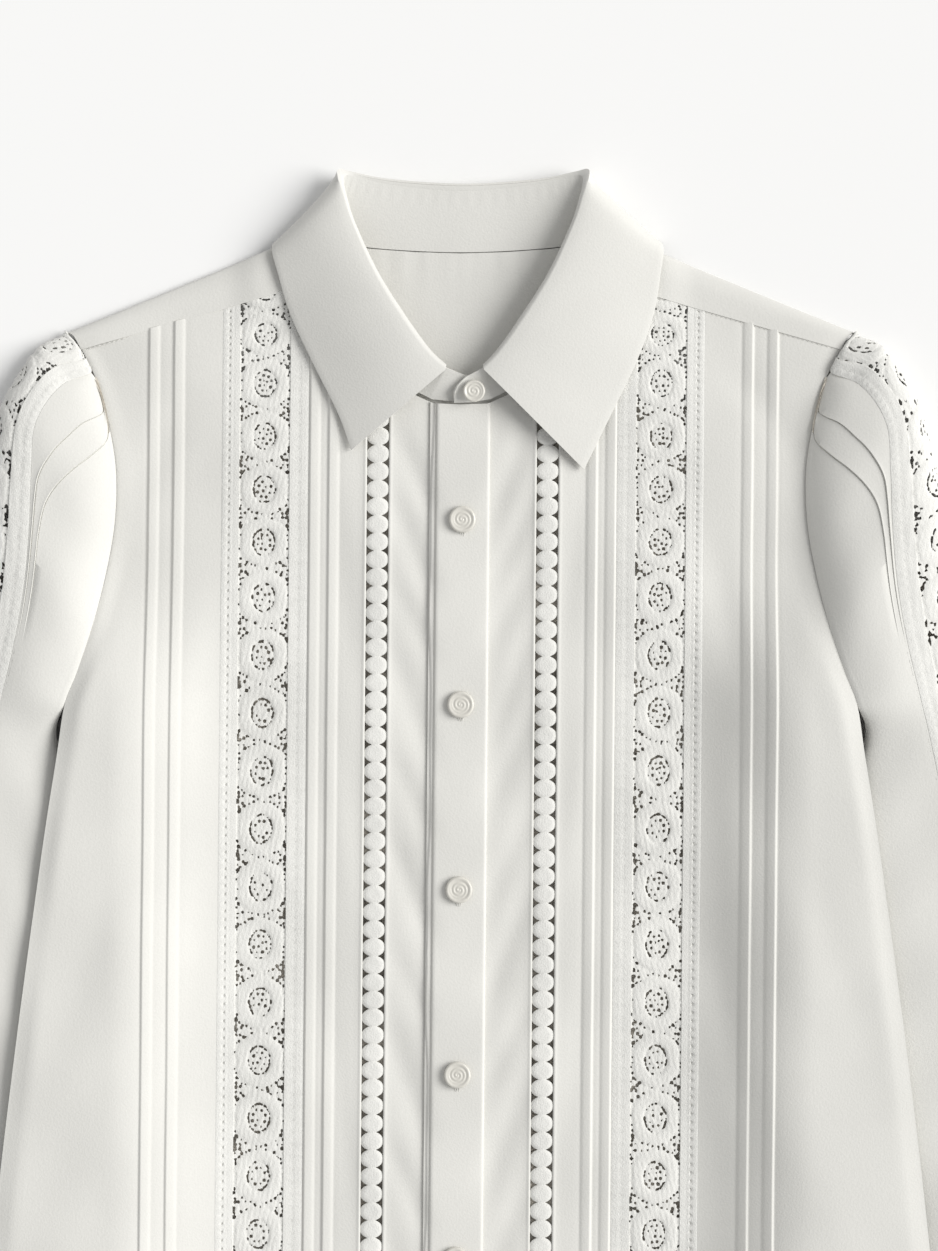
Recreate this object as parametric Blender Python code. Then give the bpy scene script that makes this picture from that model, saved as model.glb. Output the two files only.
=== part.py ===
"""A lace blouse laid flat, face up, sleeves drawn down beside the body.

Lengths below are millimetres and add_solid turns them into metres. X runs across the
blouse, +Y runs from the hem to the collar, and +Z up from the surface it lies on.
In the tables Y is measured from the neck end of the shoulders and falls to the hem.
"""
import math

import bpy
import bmesh
from mathutils import Vector

# Cloth and seams
MM = 0.001
CLOTH = 1.2
SEAM = 0.3
HALF_SEAM = SEAM / 2

# Overall sizes
HEM_Y = -680.0
COLLAR_TOP_Y = 42.0
ORIGIN_Y = (HEM_Y + COLLAR_TOP_Y) / 2
UNDERARM_Y = -236.0
BACK_SEAM_Y = -78.0

# The front's own lines lean a little to one side as they run down
LEAN_AT_TOP = 2.0
LEAN_PER_MM = 0.009

# Half widths from the middle of the front to each line of the right half
PLACKET_HALF = 14.0
UNDERLAP_REACH = 10.5
PLACKET_RISE = CLOTH + 0.9
TRIM_CENTRE = 44.3
TRIM_HALF = 5.7
LACE_INNER = 80.5
LACE_COLUMN = (91.0, 116.0)
LACE_OUTER = 125.8
INNER_TUCKS = (70.3, 80.2)
OUTER_TUCKS = (151.3, 164.3)
TUCK_WIDTH = 5.9
TUCK_RISE = 1.3

# Lace medallions and the small discs of the ladder trim
MEDALLION_PITCH = 30.2
MEDALLION_ROOM = 24.6
MEDALLION_RADIUS = 11.8
MEDALLION_CREST = 9.0
MEDALLION_RISE = 1.1
BORDER_RISE = 0.6
LACE_FIRST_Y = -31.5
LACE_SECOND_Y = -55.1
TOP_CELLS = 5
TOP_CELL_PITCH = 27.6
DISC_PITCH = 9.2
DISC_THICK = 1.4
NECK_OF_CHAIN = 2.8

# How high the sides of the body lie over the tucked sleeves
SIDE_LIFT = 19.5
LIFT_FROM = 112.0
LIFT_TO = 182.0
COLLAR_LIFT = 2.8

# Buttons
BUTTON_RADIUS = 7.0
BUTTON_THICK = 2.8
BUTTON_FIRST_Y = -140.0
BUTTON_PITCH = 96.5
BUTTON_COUNT = 6
BUTTON_SIDES = 10
BUTTON_DISH = 0.72
SMALL_BUTTON_RADIUS = 5.8
COLLAR_BUTTON = (6.8, -73.4)
COLLAR_BUTTON_LEVEL = 7.0
CUFF_BUTTON_REACH = 78.0
CUFF_BUTTON_DOWN = 32.0
CUFF_BUTTON_LEVEL = 13.1
# Columns: share of the radius, share of the thickness
BUTTON_PROFILE = ((0.72, 0.0), (1.0, 0.45), (0.86, 1.0), (0.62, 0.72))

# Rows that every front and back panel shares, so that seams meet point for point
PANEL_ROWS = (-66, -84, -112, -140, -168, -196, -220, UNDERARM_Y, -262, -314, -366,
              -418, -470, -522, -574, -627, HEM_Y)

# Columns: y, half width of the body there (armhole first, side seam below the underarm)
BODY_EDGE = ((-41, 207), (-51, 198.5), (-66, 190.8), (-84, 185.1), (-112, 180.2), (-140, 180.5),
             (-168, 185), (-196, 191.5), (-220, 199), (-236, 205), (-262, 209), (-314, 217),
             (-418, 231), (-522, 243), (-680, 258))

# Where the front yoke seam meets the armhole: half width and y
SHOULDER_END = (198.2, -50.6)

# Share of the way from the last tuck to the armhole, for each column of the side front
SIDE_SHARES = (0.35, 0.7, 0.9, 1.0)

# The inner front next to the placket. Columns: distance from the placket's edge, rise
INNER_RIGHT = ((0.4, 1.4), (4.0, 1.0), (10.0, 0.0))
INNER_LEFT_BEND = 9.0

# Half widths of the back's columns
BACK_COLUMNS = (0.0, 60.0, 108.0, 122.0, 136.0, 150.0, 164.0, 178.0)

# Yoke: half widths of its columns, then its own edge in its rows from the front seam on
YOKE_COLUMNS = (0.0, 24.0, 48.0, 64.0, 76.5, 88.0, 101.0, 122.0, 146.0, 170.0)
YOKE_EDGE = (SHOULDER_END[0] - HALF_SEAM, 202.0, 205.5, 200.5)
YOKE_FRONT_START = 70.4
YOKE_NECK_HALF = 73.0
NECK_COLUMNS = 4
RIDGE_RISE = 2.6
RIDGE_DEPTH = 5.0
BEHIND_NECK_Y = -46.0

# Columns: half distance from the middle, y of the neck seam at the front
FRONT_NECK = ((0, -80), (14, -79.5), (24, -75), (36, -67), (50, -52), (60, -38), (66, -26), (70, -14))

# Columns: half distance from the middle, y of the neck seam at the back
BACK_NECK = ((0, -1), (24, -0.3), (48, 1.5), (64, 4), (72, 7))

# Collar, right half. Columns: place along it, fold x y z, outer edge x y z, neck seam x y.
# An outer edge with z of None lies on the front.
COLLAR = (
    (0.00, 0.0, 35.0, 7.5, 0.0, -9.0, 0.0, 0.0, -0.7),
    (0.12, 22.0, 36.0, 7.5, 24.0, -9.0, 0.0, 24.0, 0.0),
    (0.24, 42.0, 38.0, 8.5, 50.0, -8.5, 0.0, 48.0, 1.8),
    (0.34, 57.0, 41.0, 10.5, 74.0, -5.0, 0.0, 64.0, 4.5),
    (0.40, 63.5, 42.0, 13.0, 86.0, 0.5, 0.0, 71.0, 7.5),
    (0.45, 64.0, 37.5, 15.5, 99.5, 5.0, 1.4, 75.0, 6.0),
    (0.50, 61.0, 27.0, 17.5, 102.0, 0.5, 9.6, 74.0, 0.0),
    (0.56, 56.5, 13.0, 19.0, 100.5, -12.0, None, 71.6, -9.0),
    (0.66, 45.0, -13.0, 19.5, 97.0, -33.0, None, 66.0, -26.0),
    (0.78, 31.0, -36.0, 18.5, 88.0, -58.0, None, 53.0, -48.0),
    (0.90, 18.0, -54.0, 17.0, 74.0, -87.0, None, 36.0, -67.0),
    (1.00, 10.0, -62.5, 16.0, 60.7, -114.0, None, 16.0, -78.5),
)

# The collar lies a little to one side, and its left leaf is narrower. Columns: place, change
COLLAR_SHIFT = 3.5
RIGHT_FOLD_SHIFT = 2.5
FRONT_FOLD_SHIFT = 2.0
LEFT_LEAF_INWARD = ((0.50, 0.0), (0.66, 4.5), (0.78, 7.0), (0.90, 6.5), (1.00, 0.0))
LEFT_LEAF_UPWARD = ((0.78, 0.0), (0.90, 2.0), (1.00, 10.0))
LEAF_REST = TUCK_RISE + CLOTH + 0.8

# Across the leaf. Columns: share of the way from the fold to the outer edge, share of the
# drop that is done there behind the neck, and height of the dome at the front.
LEAF_PROFILE = ((0.0, 0.0, 0.0), (0.05, 0.75, 0.6), (0.16, 1.0, 1.6), (0.5, 1.0, 2.2), (1.0, 1.0, 0.0))

# The stand's top lies inside the fold and below it: behind the neck, and how much less or
# more at the front
STAND_INSET = (3.8, -2.6)
STAND_DROP = (1.0, 1.4)
STAND_SEAM_ROOM = 1.4
STAND_SEAM_RISE = 0.8

# Ends of the stand at the front, the left one below. Columns: x, y of the top, y of the seam
LEFT_TAB = ((8.0, -66.0, -77.0), (1.0, -64.5, -78.8))
LEFT_TAB_LEVEL = -CLOTH / 2
LEFT_TAB_HEIGHT = 4.5
RIGHT_TAB = ((5.0, -64.6, -78.8), (0.4, -67.8, -79.0), (-3.6, -73.6, -79.0))
RIGHT_TAB_LEVEL = 2.2
RIGHT_TAB_HEIGHT = 4.7

# Sleeve, right one. Columns: outer fold x y, front edge of the lace x y, armhole or inner
# fold x y, height of the outer fold, height of the inner fold (None at the armhole), height
# of the crown, width of the lace that turns under the outer fold.
SLEEVE = (
    (207.6, -41.4, 193.6, -62.3, 190.8, -66, 4.4, None, 7.2, 10),
    (222.5, -53, 209.5, -72.5, 185.1, -84, 7.2, None, 15.0, 20),
    (238, -78, 220.5, -91, 180.2, -112, 9.0, None, 19.0, 21),
    (246, -106, 222.5, -115, 180.5, -140, 9.0, None, 20.0, 20),
    (252, -134.5, 223.5, -143, 185, -168, 9.0, None, 20.5, 17),
    (258, -163.5, 226, -173, 191.5, -196, 9.0, None, 21.0, 14),
    (264, -192.5, 231, -203, 199, -220, 9.0, None, 21.5, 11),
    (270.5, -221, 237.5, -231, 205, -236, 9.0, None, 21.5, 9),
    (277.5, -249.5, 244, -258, 209.5, -256, 9.0, 13.0, 20.0, 7),
    (290, -307, 256, -316, 190, -300, 9.0, 7.5, 18.0, 5),
    (301.5, -365, 267, -373, 182, -357, 9.0, 6.0, 17.7, 5),
    (313, -423, 278, -431, 192, -422, 9.0, 6.0, 17.5, 5),
    (324.5, -481, 289.5, -488.5, 212, -492, 9.0, 6.0, 17.2, 5),
    (336.8, -537.5, 302.5, -544.5, 239, -555, 8.2, 6.0, 15.5, 5),
    (342, -560, 308, -566.7, 246, -579, 8.0, 6.0, 14.5, 5),
)
# The lace cells start and end at these sections; from SLEEVE_LONG on, each span holds two
SLEEVE_FIRST_CELL = 1
SLEEVE_LONG = 8
SLEEVE_LAST_CELL = 13
MARGIN_SHARE = 0.03

# Columns across the sleeve's cloth, past the pleats above and from the lace below
FRONT_COLUMNS = (0.78, 0.93, 1.0)
UNDER_COLUMNS = (0.0, 0.08, 0.42)
UNDER_END_COLUMNS = (0.92, 0.98, 1.0)

# The sleeve's cloth is two solids above and two below, with a hairline between them, so
# that each is nearly flat. The front's hairline starts at the third section.
FRONT_SPLIT_ROW = 2
FRONT_SPLIT_COLUMN = 5
FRONT_SPLIT = 0.5
UNDER_SPLIT_COLUMN = 3
UNDER_SPLIT = 0.77

# Cuffs
CUFF_LENGTH = 60.0
CUFF_NARROWING = 4.0
CUFF_HEIGHT = 13.5
CUFF_FLATTENING = 1.5
CUFF_SIDES = 20
SIDE_ROUNDNESS = 0.55
TOP_ROUNDNESS = 0.8

# Two pleats in each sleeve cap. Columns: where each one's edge crosses a sleeve section,
# from the lace (0) to the armhole (1), and how far the pleats stand up there (0 to 1).
CAP_PLEATS = (
    (0.95, 0.98, 0.0),
    (0.94, 0.97, 0.6),
    (0.385, 0.72, 1.0),
    (0.08, 0.305, 0.9),
    (0.04, 0.12, 0.5),
    (0.04, 0.12, 0.2),
    (0.04, 0.12, 0.0),
)
CAP_PLEAT_RISE = 1.4

# Plain colours
CLOTH_COLOUR = (0.86, 0.855, 0.83)
LACE_COLOUR = (0.88, 0.875, 0.85)
BUTTON_COLOUR = (0.80, 0.79, 0.76)


def ease(start, end, value):
    """0 before start, 1 after end, and a smooth rise between them."""
    share = min(1.0, max(0.0, (value - start) / (end - start)))
    return share * share * (3 - 2 * share)


def table_value(rows, place):
    """The second column at a place in the first one, by straight lines."""
    rising = rows[0][0] < rows[-1][0]
    ordered = rows if rising else rows[::-1]
    if place <= ordered[0][0]:
        return ordered[0][1]
    for (a, low), (b, high) in zip(ordered, ordered[1:]):
        if place <= b:
            return low + (high - low) * (place - a) / (b - a)
    return ordered[-1][1]


def lean(y):
    return LEAN_AT_TOP + LEAN_PER_MM * y


def body_edge(y):
    return table_value(BODY_EDGE, y)


def yoke_seam_y(x):
    """The front yoke seam, forward of the shoulder ridge."""
    return -22.0 - (abs(x) - 98.0) * 0.285


def shoulder_y(x):
    """The ridge of the shoulder, from the neck to the sleeve."""
    return -(abs(x) - 101.0) * 0.406


def front_top_y(x):
    """Upper edge of the front: the neck seam, then the yoke seam."""
    if abs(x) < 70.0:
        return table_value(FRONT_NECK, abs(x))
    return yoke_seam_y(x)


def back_under(x, y):
    """Height of the back's underside: flat, but lifted by the sleeves and the collar."""
    sideways = ease(LIFT_FROM, LIFT_TO, abs(x))
    along = ease(-150.0, -245.0, y) * (1.0 - ease(-520.0, -672.0, y))
    near_collar = (1.0 - ease(104.0, 122.0, abs(x))) * ease(-46.0, -16.0, y)
    return SIDE_LIFT * sideways * along + COLLAR_LIFT * near_collar


def drape(x, y):
    """Soft slanting waves in the cloth of the front."""
    first = math.sin((y + 0.9 * x) * math.tau / 105.0 + 0.6)
    second = math.sin((y - 1.3 * x) * math.tau / 150.0 + 2.0)
    return 0.55 * first + 0.45 * second


def front_over(x, y):
    """Height of the front's upper side."""
    inward = body_edge(y) - abs(x)
    at_armhole = 1.0 - ease(-190.0, UNDERARM_Y, y)
    edge_room = 0.4 + 2.1 * at_armhole
    room = 2.2 + drape(x, y)
    share = ease(0.0, 10.0, inward)
    return back_under(x, y) + 2 * CLOTH + edge_room + (room - edge_room) * share


def add_material(name, colour):
    material = bpy.data.materials.new(name + "_finish")
    material.use_nodes = True
    shader = material.node_tree.nodes["Principled BSDF"]
    shader.inputs["Base Color"].default_value = (*colour, 1.0)
    shader.inputs["Roughness"].default_value = 0.8 if colour != BUTTON_COLOUR else 0.35
    shader.inputs["Metallic"].default_value = 0.0
    return material


def add_solid(name, points, faces, colour):
    """One closed mesh from points in millimetres."""
    mesh = bpy.data.meshes.new(name)
    placed = [(p[0] * MM, (p[1] - ORIGIN_Y) * MM, p[2] * MM) for p in points]
    mesh.from_pydata(placed, [], faces)
    work = bmesh.new()
    work.from_mesh(mesh)
    loose = [v for v in work.verts if not v.link_faces]
    bmesh.ops.delete(work, geom=loose, context="VERTS")
    bmesh.ops.recalc_face_normals(work, faces=work.faces)
    work.to_mesh(mesh)
    work.free()
    mesh.materials.append(add_material(name, colour))
    item = bpy.data.objects.new(name, mesh)
    bpy.context.scene.collection.objects.link(item)
    return item


def wall_faces(rows, columns, kept=None, ring=False):
    """Faces of a closed wall between an outer grid and an inner one that follows it."""
    count = rows * columns
    last = columns if ring else columns - 1

    def at(i, j):
        return i * columns + j % columns

    cells = [(i, j) for i in range(rows - 1) for j in range(last) if kept is None or kept(i, j)]
    faces = []
    edges = set()
    for i, j in cells:
        loop = (at(i, j), at(i, j + 1), at(i + 1, j + 1), at(i + 1, j))
        faces.append(loop)
        faces.append(tuple(count + k for k in reversed(loop)))
        edges.update(zip(loop, loop[1:] + loop[:1]))
    for a, b in edges:
        if (b, a) not in edges:
            faces.append((b, a, count + a, count + b))
    return faces


def grid_normals(grid):
    """Unit normals of a grid of points, from its neighbours."""
    normals = []
    for i, row in enumerate(grid):
        line = []
        for j, _ in enumerate(row):
            along = grid[min(i + 1, len(grid) - 1)][j] - grid[max(i - 1, 0)][j]
            across = row[min(j + 1, len(row) - 1)] - row[max(j - 1, 0)]
            line.append(along.cross(across).normalized())
        normals.append(line)
    return normals


def add_wall(name, outer, inner, colour=CLOTH_COLOUR, kept=None, ring=False):
    points = [p for row in outer for p in row] + [p for row in inner for p in row]
    return add_solid(name, points, wall_faces(len(outer), len(outer[0]), kept, ring), colour)


def add_offset_wall(name, outer, depth, margin=False):
    """A wall of even depth behind a grid.

    With a margin, the first and last columns lie past the piece and only steer its normals.
    """
    normals = grid_normals(outer)
    if margin:
        outer = [row[1:-1] for row in outer]
        normals = [line[1:-1] for line in normals]
    inner = [[p - n * depth for p, n in zip(row, line)] for row, line in zip(outer, normals)]
    return add_wall(name, outer, inner)


def add_split_walls(names, outer, depth, column, row=-1):
    """Two walls behind one grid, with a hairline between them.

    The first has every cell before the row, and past it those before the column; the other
    has the rest. The grid's first and last columns lie past the pieces.
    """
    normals = [line[1:-1] for line in grid_normals(outer)]
    outer = [line[1:-1] for line in outer]
    for line in normals:
        line[column] = line[column + 1] = (line[column] + line[column + 1]).normalized()
    if row >= 0:
        shared = [(a + b).normalized() for a, b in zip(normals[row], normals[row + 1])]
        normals[row] = shared
        normals[row + 1] = shared
    inner = [[p - n * depth for p, n in zip(points, line)] for points, line in zip(outer, normals)]
    add_wall(names[0], outer, inner, kept=lambda i, j: i < row or j < column)
    add_wall(names[1], outer, inner, kept=lambda i, j: i > row and j > column)


def tuck_columns(edge):
    """Places and rises across one tuck, whose free edge faces away from the placket."""
    return ((edge - TUCK_WIDTH, 0.0), (edge, TUCK_RISE), (edge + 0.3, 0.0))


def front_place(side, half, line):
    """Where a line of the front crosses a row; a row of None is its upper seam."""
    if line is not None:
        return side * half + lean(line), line
    x = side * half + lean(front_top_y(half))
    return x, front_top_y(x) - HALF_SEAM


def add_panel(name, side, columns, above=0.0):
    """A strip of the front, from the neck or yoke seam to the hem.

    columns holds (half distance from the middle, rise) pairs.
    """
    low = min(front_top_y(c) for c, _ in columns)
    lines = [None] + [y for y in PANEL_ROWS if y < low - 4.0]
    outer = []
    for line in lines:
        row = []
        for c, rise in columns:
            x, y = front_place(side, c, line)
            row.append(Vector((x, y, front_over(x, y) + rise + above)))
        outer.append(row)
    inner = []
    for row in outer:
        inner.append([Vector((p.x, p.y, front_over(p.x, p.y) + above - CLOTH)) for p in row])
    return add_wall(name, outer, inner)


def side_front_place(side, share, last, line):
    """A place between the last tuck's line and the armhole or side seam."""
    y = SHOULDER_END[1] if line is None else line
    start = side * last + lean(y)
    end = side * (SHOULDER_END[0] if line is None else body_edge(y) - HALF_SEAM)
    x = start + (end - start) * share
    if line is None:
        return x, yoke_seam_y(x) - HALF_SEAM
    return x, line


def build_side_front(name, side):
    """From the lace to the armhole and the side seam, with two tucks."""
    columns = [(LACE_OUTER + HALF_SEAM, 0.0)]
    for edge in OUTER_TUCKS:
        columns += tuck_columns(edge)
    last = columns[-1][0]
    outer = []
    inner = []
    for line in (None,) + PANEL_ROWS:
        places = [(front_place(side, c, line), rise) for c, rise in columns]
        places += [(side_front_place(side, share, last, line), 0.0) for share in SIDE_SHARES]
        row = []
        plain = []
        for (x, y), rise in places:
            z = front_over(x, y)
            row.append(Vector((x, y, z + rise)))
            plain.append(Vector((x, y, z - CLOTH)))
        outer.append(row)
        inner.append(plain)
    add_wall(name, outer, inner)


def build_middle_front(name, side):
    """From the disc trim to the lace, with two tucks."""
    columns = [(TRIM_CENTRE + TRIM_HALF + HALF_SEAM, 0.0)]
    columns += tuck_columns(INNER_TUCKS[0])
    columns += tuck_columns(INNER_TUCKS[1])[:2]
    add_panel(name, side, columns)


def build_inner_front(name, side):
    """From the placket to the disc trim. The left one runs on under the placket."""
    edge = TRIM_CENTRE - TRIM_HALF - HALF_SEAM
    if side < 0:
        columns = [(-UNDERLAP_REACH, 0.0), (PLACKET_HALF, 0.0), (PLACKET_HALF + INNER_LEFT_BEND, 0.0)]
    else:
        columns = [(PLACKET_HALF + beside, rise) for beside, rise in INNER_RIGHT]
    add_panel(name, side, columns + [(edge, 0.0)])


def build_placket():
    columns = [(-PLACKET_HALF, 0.0), (0.0, 0.1), (PLACKET_HALF, 0.0)]
    add_panel("placket", 1, columns, above=PLACKET_RISE)


def lace_line(k):
    """Where repeat k of the front's lace starts. The repeats at the top are shorter."""
    if k == 0:
        return LACE_FIRST_Y
    top = min(k, TOP_CELLS)
    return LACE_SECOND_Y - TOP_CELL_PITCH * (top - 1) - MEDALLION_PITCH * (k - top)


def build_lace_band(name, side):
    """Medallions between two raised borders, down one side of the front."""
    count = TOP_CELLS + int((lace_line(TOP_CELLS) - HEM_Y) / MEDALLION_PITCH)
    stops = [None] + [lace_line(k) for k in range(count + 1)] + [HEM_Y]
    inner_edge = LACE_INNER + HALF_SEAM
    outer_edge = LACE_OUTER - HALF_SEAM
    gates = (inner_edge, (inner_edge + LACE_COLUMN[0]) / 2, LACE_COLUMN[0],
             LACE_COLUMN[1], (outer_edge + LACE_COLUMN[1]) / 2, outer_edge)

    def surface(gate, stop, rise):
        x, y = front_place(side, gate, stop)
        return Vector((x, y, front_over(x, y) + rise))

    rises = (0.0, BORDER_RISE, 0.0, 0.0, BORDER_RISE, 0.0)
    outer = [[surface(gate, stop, rise) for gate, rise in zip(gates, rises)] for stop in stops]
    inner = [[surface(gate, stop, -CLOTH) for gate in gates] for stop in stops]
    centre = (LACE_COLUMN[0] + LACE_COLUMN[1]) / 2

    def medallion(cell, angle, radius, rise):
        first = lace_line(cell)
        last = lace_line(cell + 1)
        squeeze = min(1.0, (first - last) / MEDALLION_ROOM)
        y = (first + last) / 2 - squeeze * radius * math.sin(angle)
        return surface(centre + radius * math.cos(angle), y, rise)

    add_lace(name, outer, inner, count, medallion)


def add_lace(name, outer, inner, count, medallion):
    """A wall whose middle column holds one raised ring in each of count cells."""
    columns = 6
    rows = len(outer)
    points = [p for row in outer for p in row] + [p for row in inner for p in row]
    faces = wall_faces(rows, columns)
    for cell in range(count):
        i = cell + 1
        corners = (i * columns + 2, i * columns + 3, (i + 1) * columns + 3, (i + 1) * columns + 2)
        faces.remove(corners)
        turns = [math.radians(22.5 + 45.0 * k) for k in range(8)]
        low = len(points)
        points += [medallion(cell, t, MEDALLION_RADIUS, 0.15) for t in turns]
        points += [medallion(cell, t, MEDALLION_CREST, MEDALLION_RISE) for t in turns]
        points.append(medallion(cell, 0.0, 0.0, 0.2))
        upper_left, upper_right, lower_right, lower_left = corners
        # Turn 0 points just below the outer side, and the turns run towards the hem
        faces.append((upper_right, lower_right, low + 0, low + 7))
        faces.append((lower_right, low + 1, low + 0))
        faces.append((lower_right, lower_left, low + 2, low + 1))
        faces.append((lower_left, low + 3, low + 2))
        faces.append((lower_left, upper_left, low + 4, low + 3))
        faces.append((upper_left, low + 5, low + 4))
        faces.append((upper_left, upper_right, low + 6, low + 5))
        faces.append((upper_right, low + 7, low + 6))
        for k in range(8):
            after = (k + 1) % 8
            faces.append((low + k, low + after, low + 8 + after, low + 8 + k))
            faces.append((low + 8 + k, low + 8 + after, low + 16))
    return add_solid(name, points, faces, LACE_COLOUR)


def build_disc_trim(name, side):
    """A chain of discs that touch along the strip, with open gaps at both sides."""
    top = front_top_y(TRIM_CENTRE - TRIM_HALF) - HALF_SEAM
    count = int((top - HEM_Y) / DISC_PITCH)
    half = TRIM_HALF - HALF_SEAM
    outer = []
    steps = ((0.0, NECK_OF_CHAIN), (0.24, half), (0.76, half))
    for disc in range(count):
        for share, reach in steps:
            outer.append((top - DISC_PITCH * (disc + share), reach))
    outer.append((top - DISC_PITCH * count, NECK_OF_CHAIN))
    upper = []
    lower = []
    for y, reach in outer:
        centre = side * TRIM_CENTRE + lean(y)
        ends = (centre - reach, centre + reach)
        upper.append([Vector((x, y, front_over(x, y) + 0.2)) for x in ends])
        lower.append([Vector((x, y, front_over(x, y) + 0.2 - DISC_THICK)) for x in ends])
    add_wall(name, upper, lower, LACE_COLOUR)


def build_back():
    """One panel from the back yoke seam to the hem."""
    outer = []
    inner = []
    for line in (BACK_SEAM_Y - HALF_SEAM,) + PANEL_ROWS[1:]:
        edge = body_edge(line) - HALF_SEAM
        places = [min(h, edge - 3.0 * (1 + 0.1 * k)) for k, h in enumerate(reversed(BACK_COLUMNS))][::-1]
        xs = [-edge] + [-p for p in reversed(places[1:])] + places + [edge]
        outer.append([Vector((x, line, back_under(x, line))) for x in xs])
        inner.append([Vector((x, line, back_under(x, line) + CLOTH)) for x in xs])
    add_wall("back", outer, inner)


def yoke_line(half):
    """Places and heights across the yoke, from its front seam to its back seam.

    A half of None is the yoke's outer edge.
    """
    at_edge = half is None
    front, over, ridge, behind = YOKE_EDGE if at_edge else (max(half, YOKE_FRONT_START), half, half, half)
    y = yoke_seam_y(front) + HALF_SEAM
    line = [(front, y, front_over(front, y))]
    y = (yoke_seam_y(over) + shoulder_y(over)) / 2 + 2.0
    line.append((over, y, front_over(over, y) - 0.3))
    y = shoulder_y(ridge)
    line.append((ridge, y, back_under(ridge, y) + RIDGE_RISE))
    y = shoulder_y(behind) - RIDGE_DEPTH
    if not at_edge and half <= YOKE_COLUMNS[NECK_COLUMNS]:
        y = table_value(BACK_NECK, half) - HALF_SEAM
    line.append((behind, y, back_under(behind, y)))
    if at_edge:
        places = ((PANEL_ROWS[0], body_edge(PANEL_ROWS[0]) - HALF_SEAM),
                  (BACK_SEAM_Y + HALF_SEAM, body_edge(BACK_SEAM_Y) - HALF_SEAM))
    else:
        beside_neck = (shoulder_y(half) - RIDGE_DEPTH + BACK_SEAM_Y) / 2
        places = ((BEHIND_NECK_Y if half < 101.0 else beside_neck, half), (BACK_SEAM_Y + HALF_SEAM, half))
    line += [(reach, y, back_under(reach, y)) for y, reach in places]
    if not at_edge and half < YOKE_NECK_HALF:
        line[:3] = [line[3]] * 3
    return line


def build_yoke():
    """Over both shoulders and behind the neck, in one piece."""
    right = [(1, half) for half in YOKE_COLUMNS + (None,)]
    columns = [(-1, half) for _, half in reversed(right[1:])] + right
    lines = [[Vector((side * x, y, z)) for x, y, z in yoke_line(half)] for side, half in columns]
    outer = [list(row) for row in zip(*lines)]
    middle = len(columns) // 2

    def kept(i, j):
        beside_neck = j < middle - NECK_COLUMNS or j >= middle + NECK_COLUMNS
        return i >= 3 or beside_neck

    normals = grid_normals(outer)
    for i in range(3, len(outer)):
        for j in range(middle - NECK_COLUMNS, middle + NECK_COLUMNS + 1):
            if j != middle:
                normals[i][j] = Vector((0, 0, 1))
    inner = [[p + n * CLOTH for p, n in zip(row, line)] for row, line in zip(outer, normals)]
    add_wall("yoke", outer, inner, kept=kept)


def collar_rows():
    """The collar table from the left front, round the back, to the right front."""
    right = [(1, row) for row in COLLAR]
    left = [(-1, row) for row in reversed(COLLAR[1:])]
    return left + right


def collar_points(side, row):
    """Fold, outer edge and neck seam of one collar row."""
    place, fold_x, fold_y, fold_z, edge_x, edge_y, edge_z, neck_x, neck_y = row
    beside = RIGHT_FOLD_SHIFT * (1 + side * ease(0.0, 0.3, place)) / 2
    fold_shift = beside + (FRONT_FOLD_SHIFT - beside) * ease(0.85, 1.0, place)
    edge_x = side * edge_x + COLLAR_SHIFT
    if side < 0:
        edge_x += table_value(LEFT_LEAF_INWARD, place)
        edge_y += table_value(LEFT_LEAF_UPWARD, place)
    if edge_z is None:
        edge_z = front_over(edge_x, edge_y) + LEAF_REST
    fold = Vector((side * fold_x + fold_shift, fold_y, fold_z))
    edge = Vector((edge_x, edge_y, edge_z))
    return fold, edge, Vector((side * neck_x, neck_y, 0.0))


def build_collar_leaf():
    outer = []
    for side, row in collar_rows():
        fold, edge, _ = collar_points(side, row)
        behind = 1.0 - ease(0.34, 0.50, row[0])
        line = []
        for share, drop, dome in LEAF_PROFILE:
            place = fold.lerp(edge, share)
            at_front = place.z + dome
            at_back = fold.z * (1.0 - drop) + edge.z * drop
            place.z = at_back * behind + at_front * (1.0 - behind)
            line.append(place)
        outer.append(line)
    add_offset_wall("collar_leaf", outer, CLOTH)


def stand_line(side, row):
    """Neck seam, middle and top of the stand at one place of the collar."""
    fold, _, neck = collar_points(side, row)
    front = ease(0.40, 0.52, row[0])
    toward_middle = Vector((-fold.x, -15.0 - fold.y, 0.0)).normalized()
    top = fold + toward_middle * (STAND_INSET[0] + STAND_INSET[1] * front)
    top.z = fold.z - STAND_DROP[0] - STAND_DROP[1] * front
    neck_z = back_under(neck.x, neck.y) + CLOTH / 2
    neck.z = neck_z + (front_over(neck.x, neck.y) - CLOTH / 2 - neck_z) * front
    toward_fold = (Vector((fold.x, fold.y, 0)) - Vector((neck.x, neck.y, 0))).normalized()
    neck += toward_fold * (SEAM + STAND_SEAM_ROOM * front)
    neck.z += STAND_SEAM_RISE * front
    return [neck, neck.lerp(top, 0.5), top]


def tab_lines(tab, level, height):
    lines = []
    for reach, top_y, neck_y in tab:
        neck = Vector((reach, neck_y, front_over(reach, neck_y) + level))
        top = Vector((reach, top_y, neck.z + height))
        lines.append([neck, neck.lerp(top, 0.5), top])
    return lines


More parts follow.
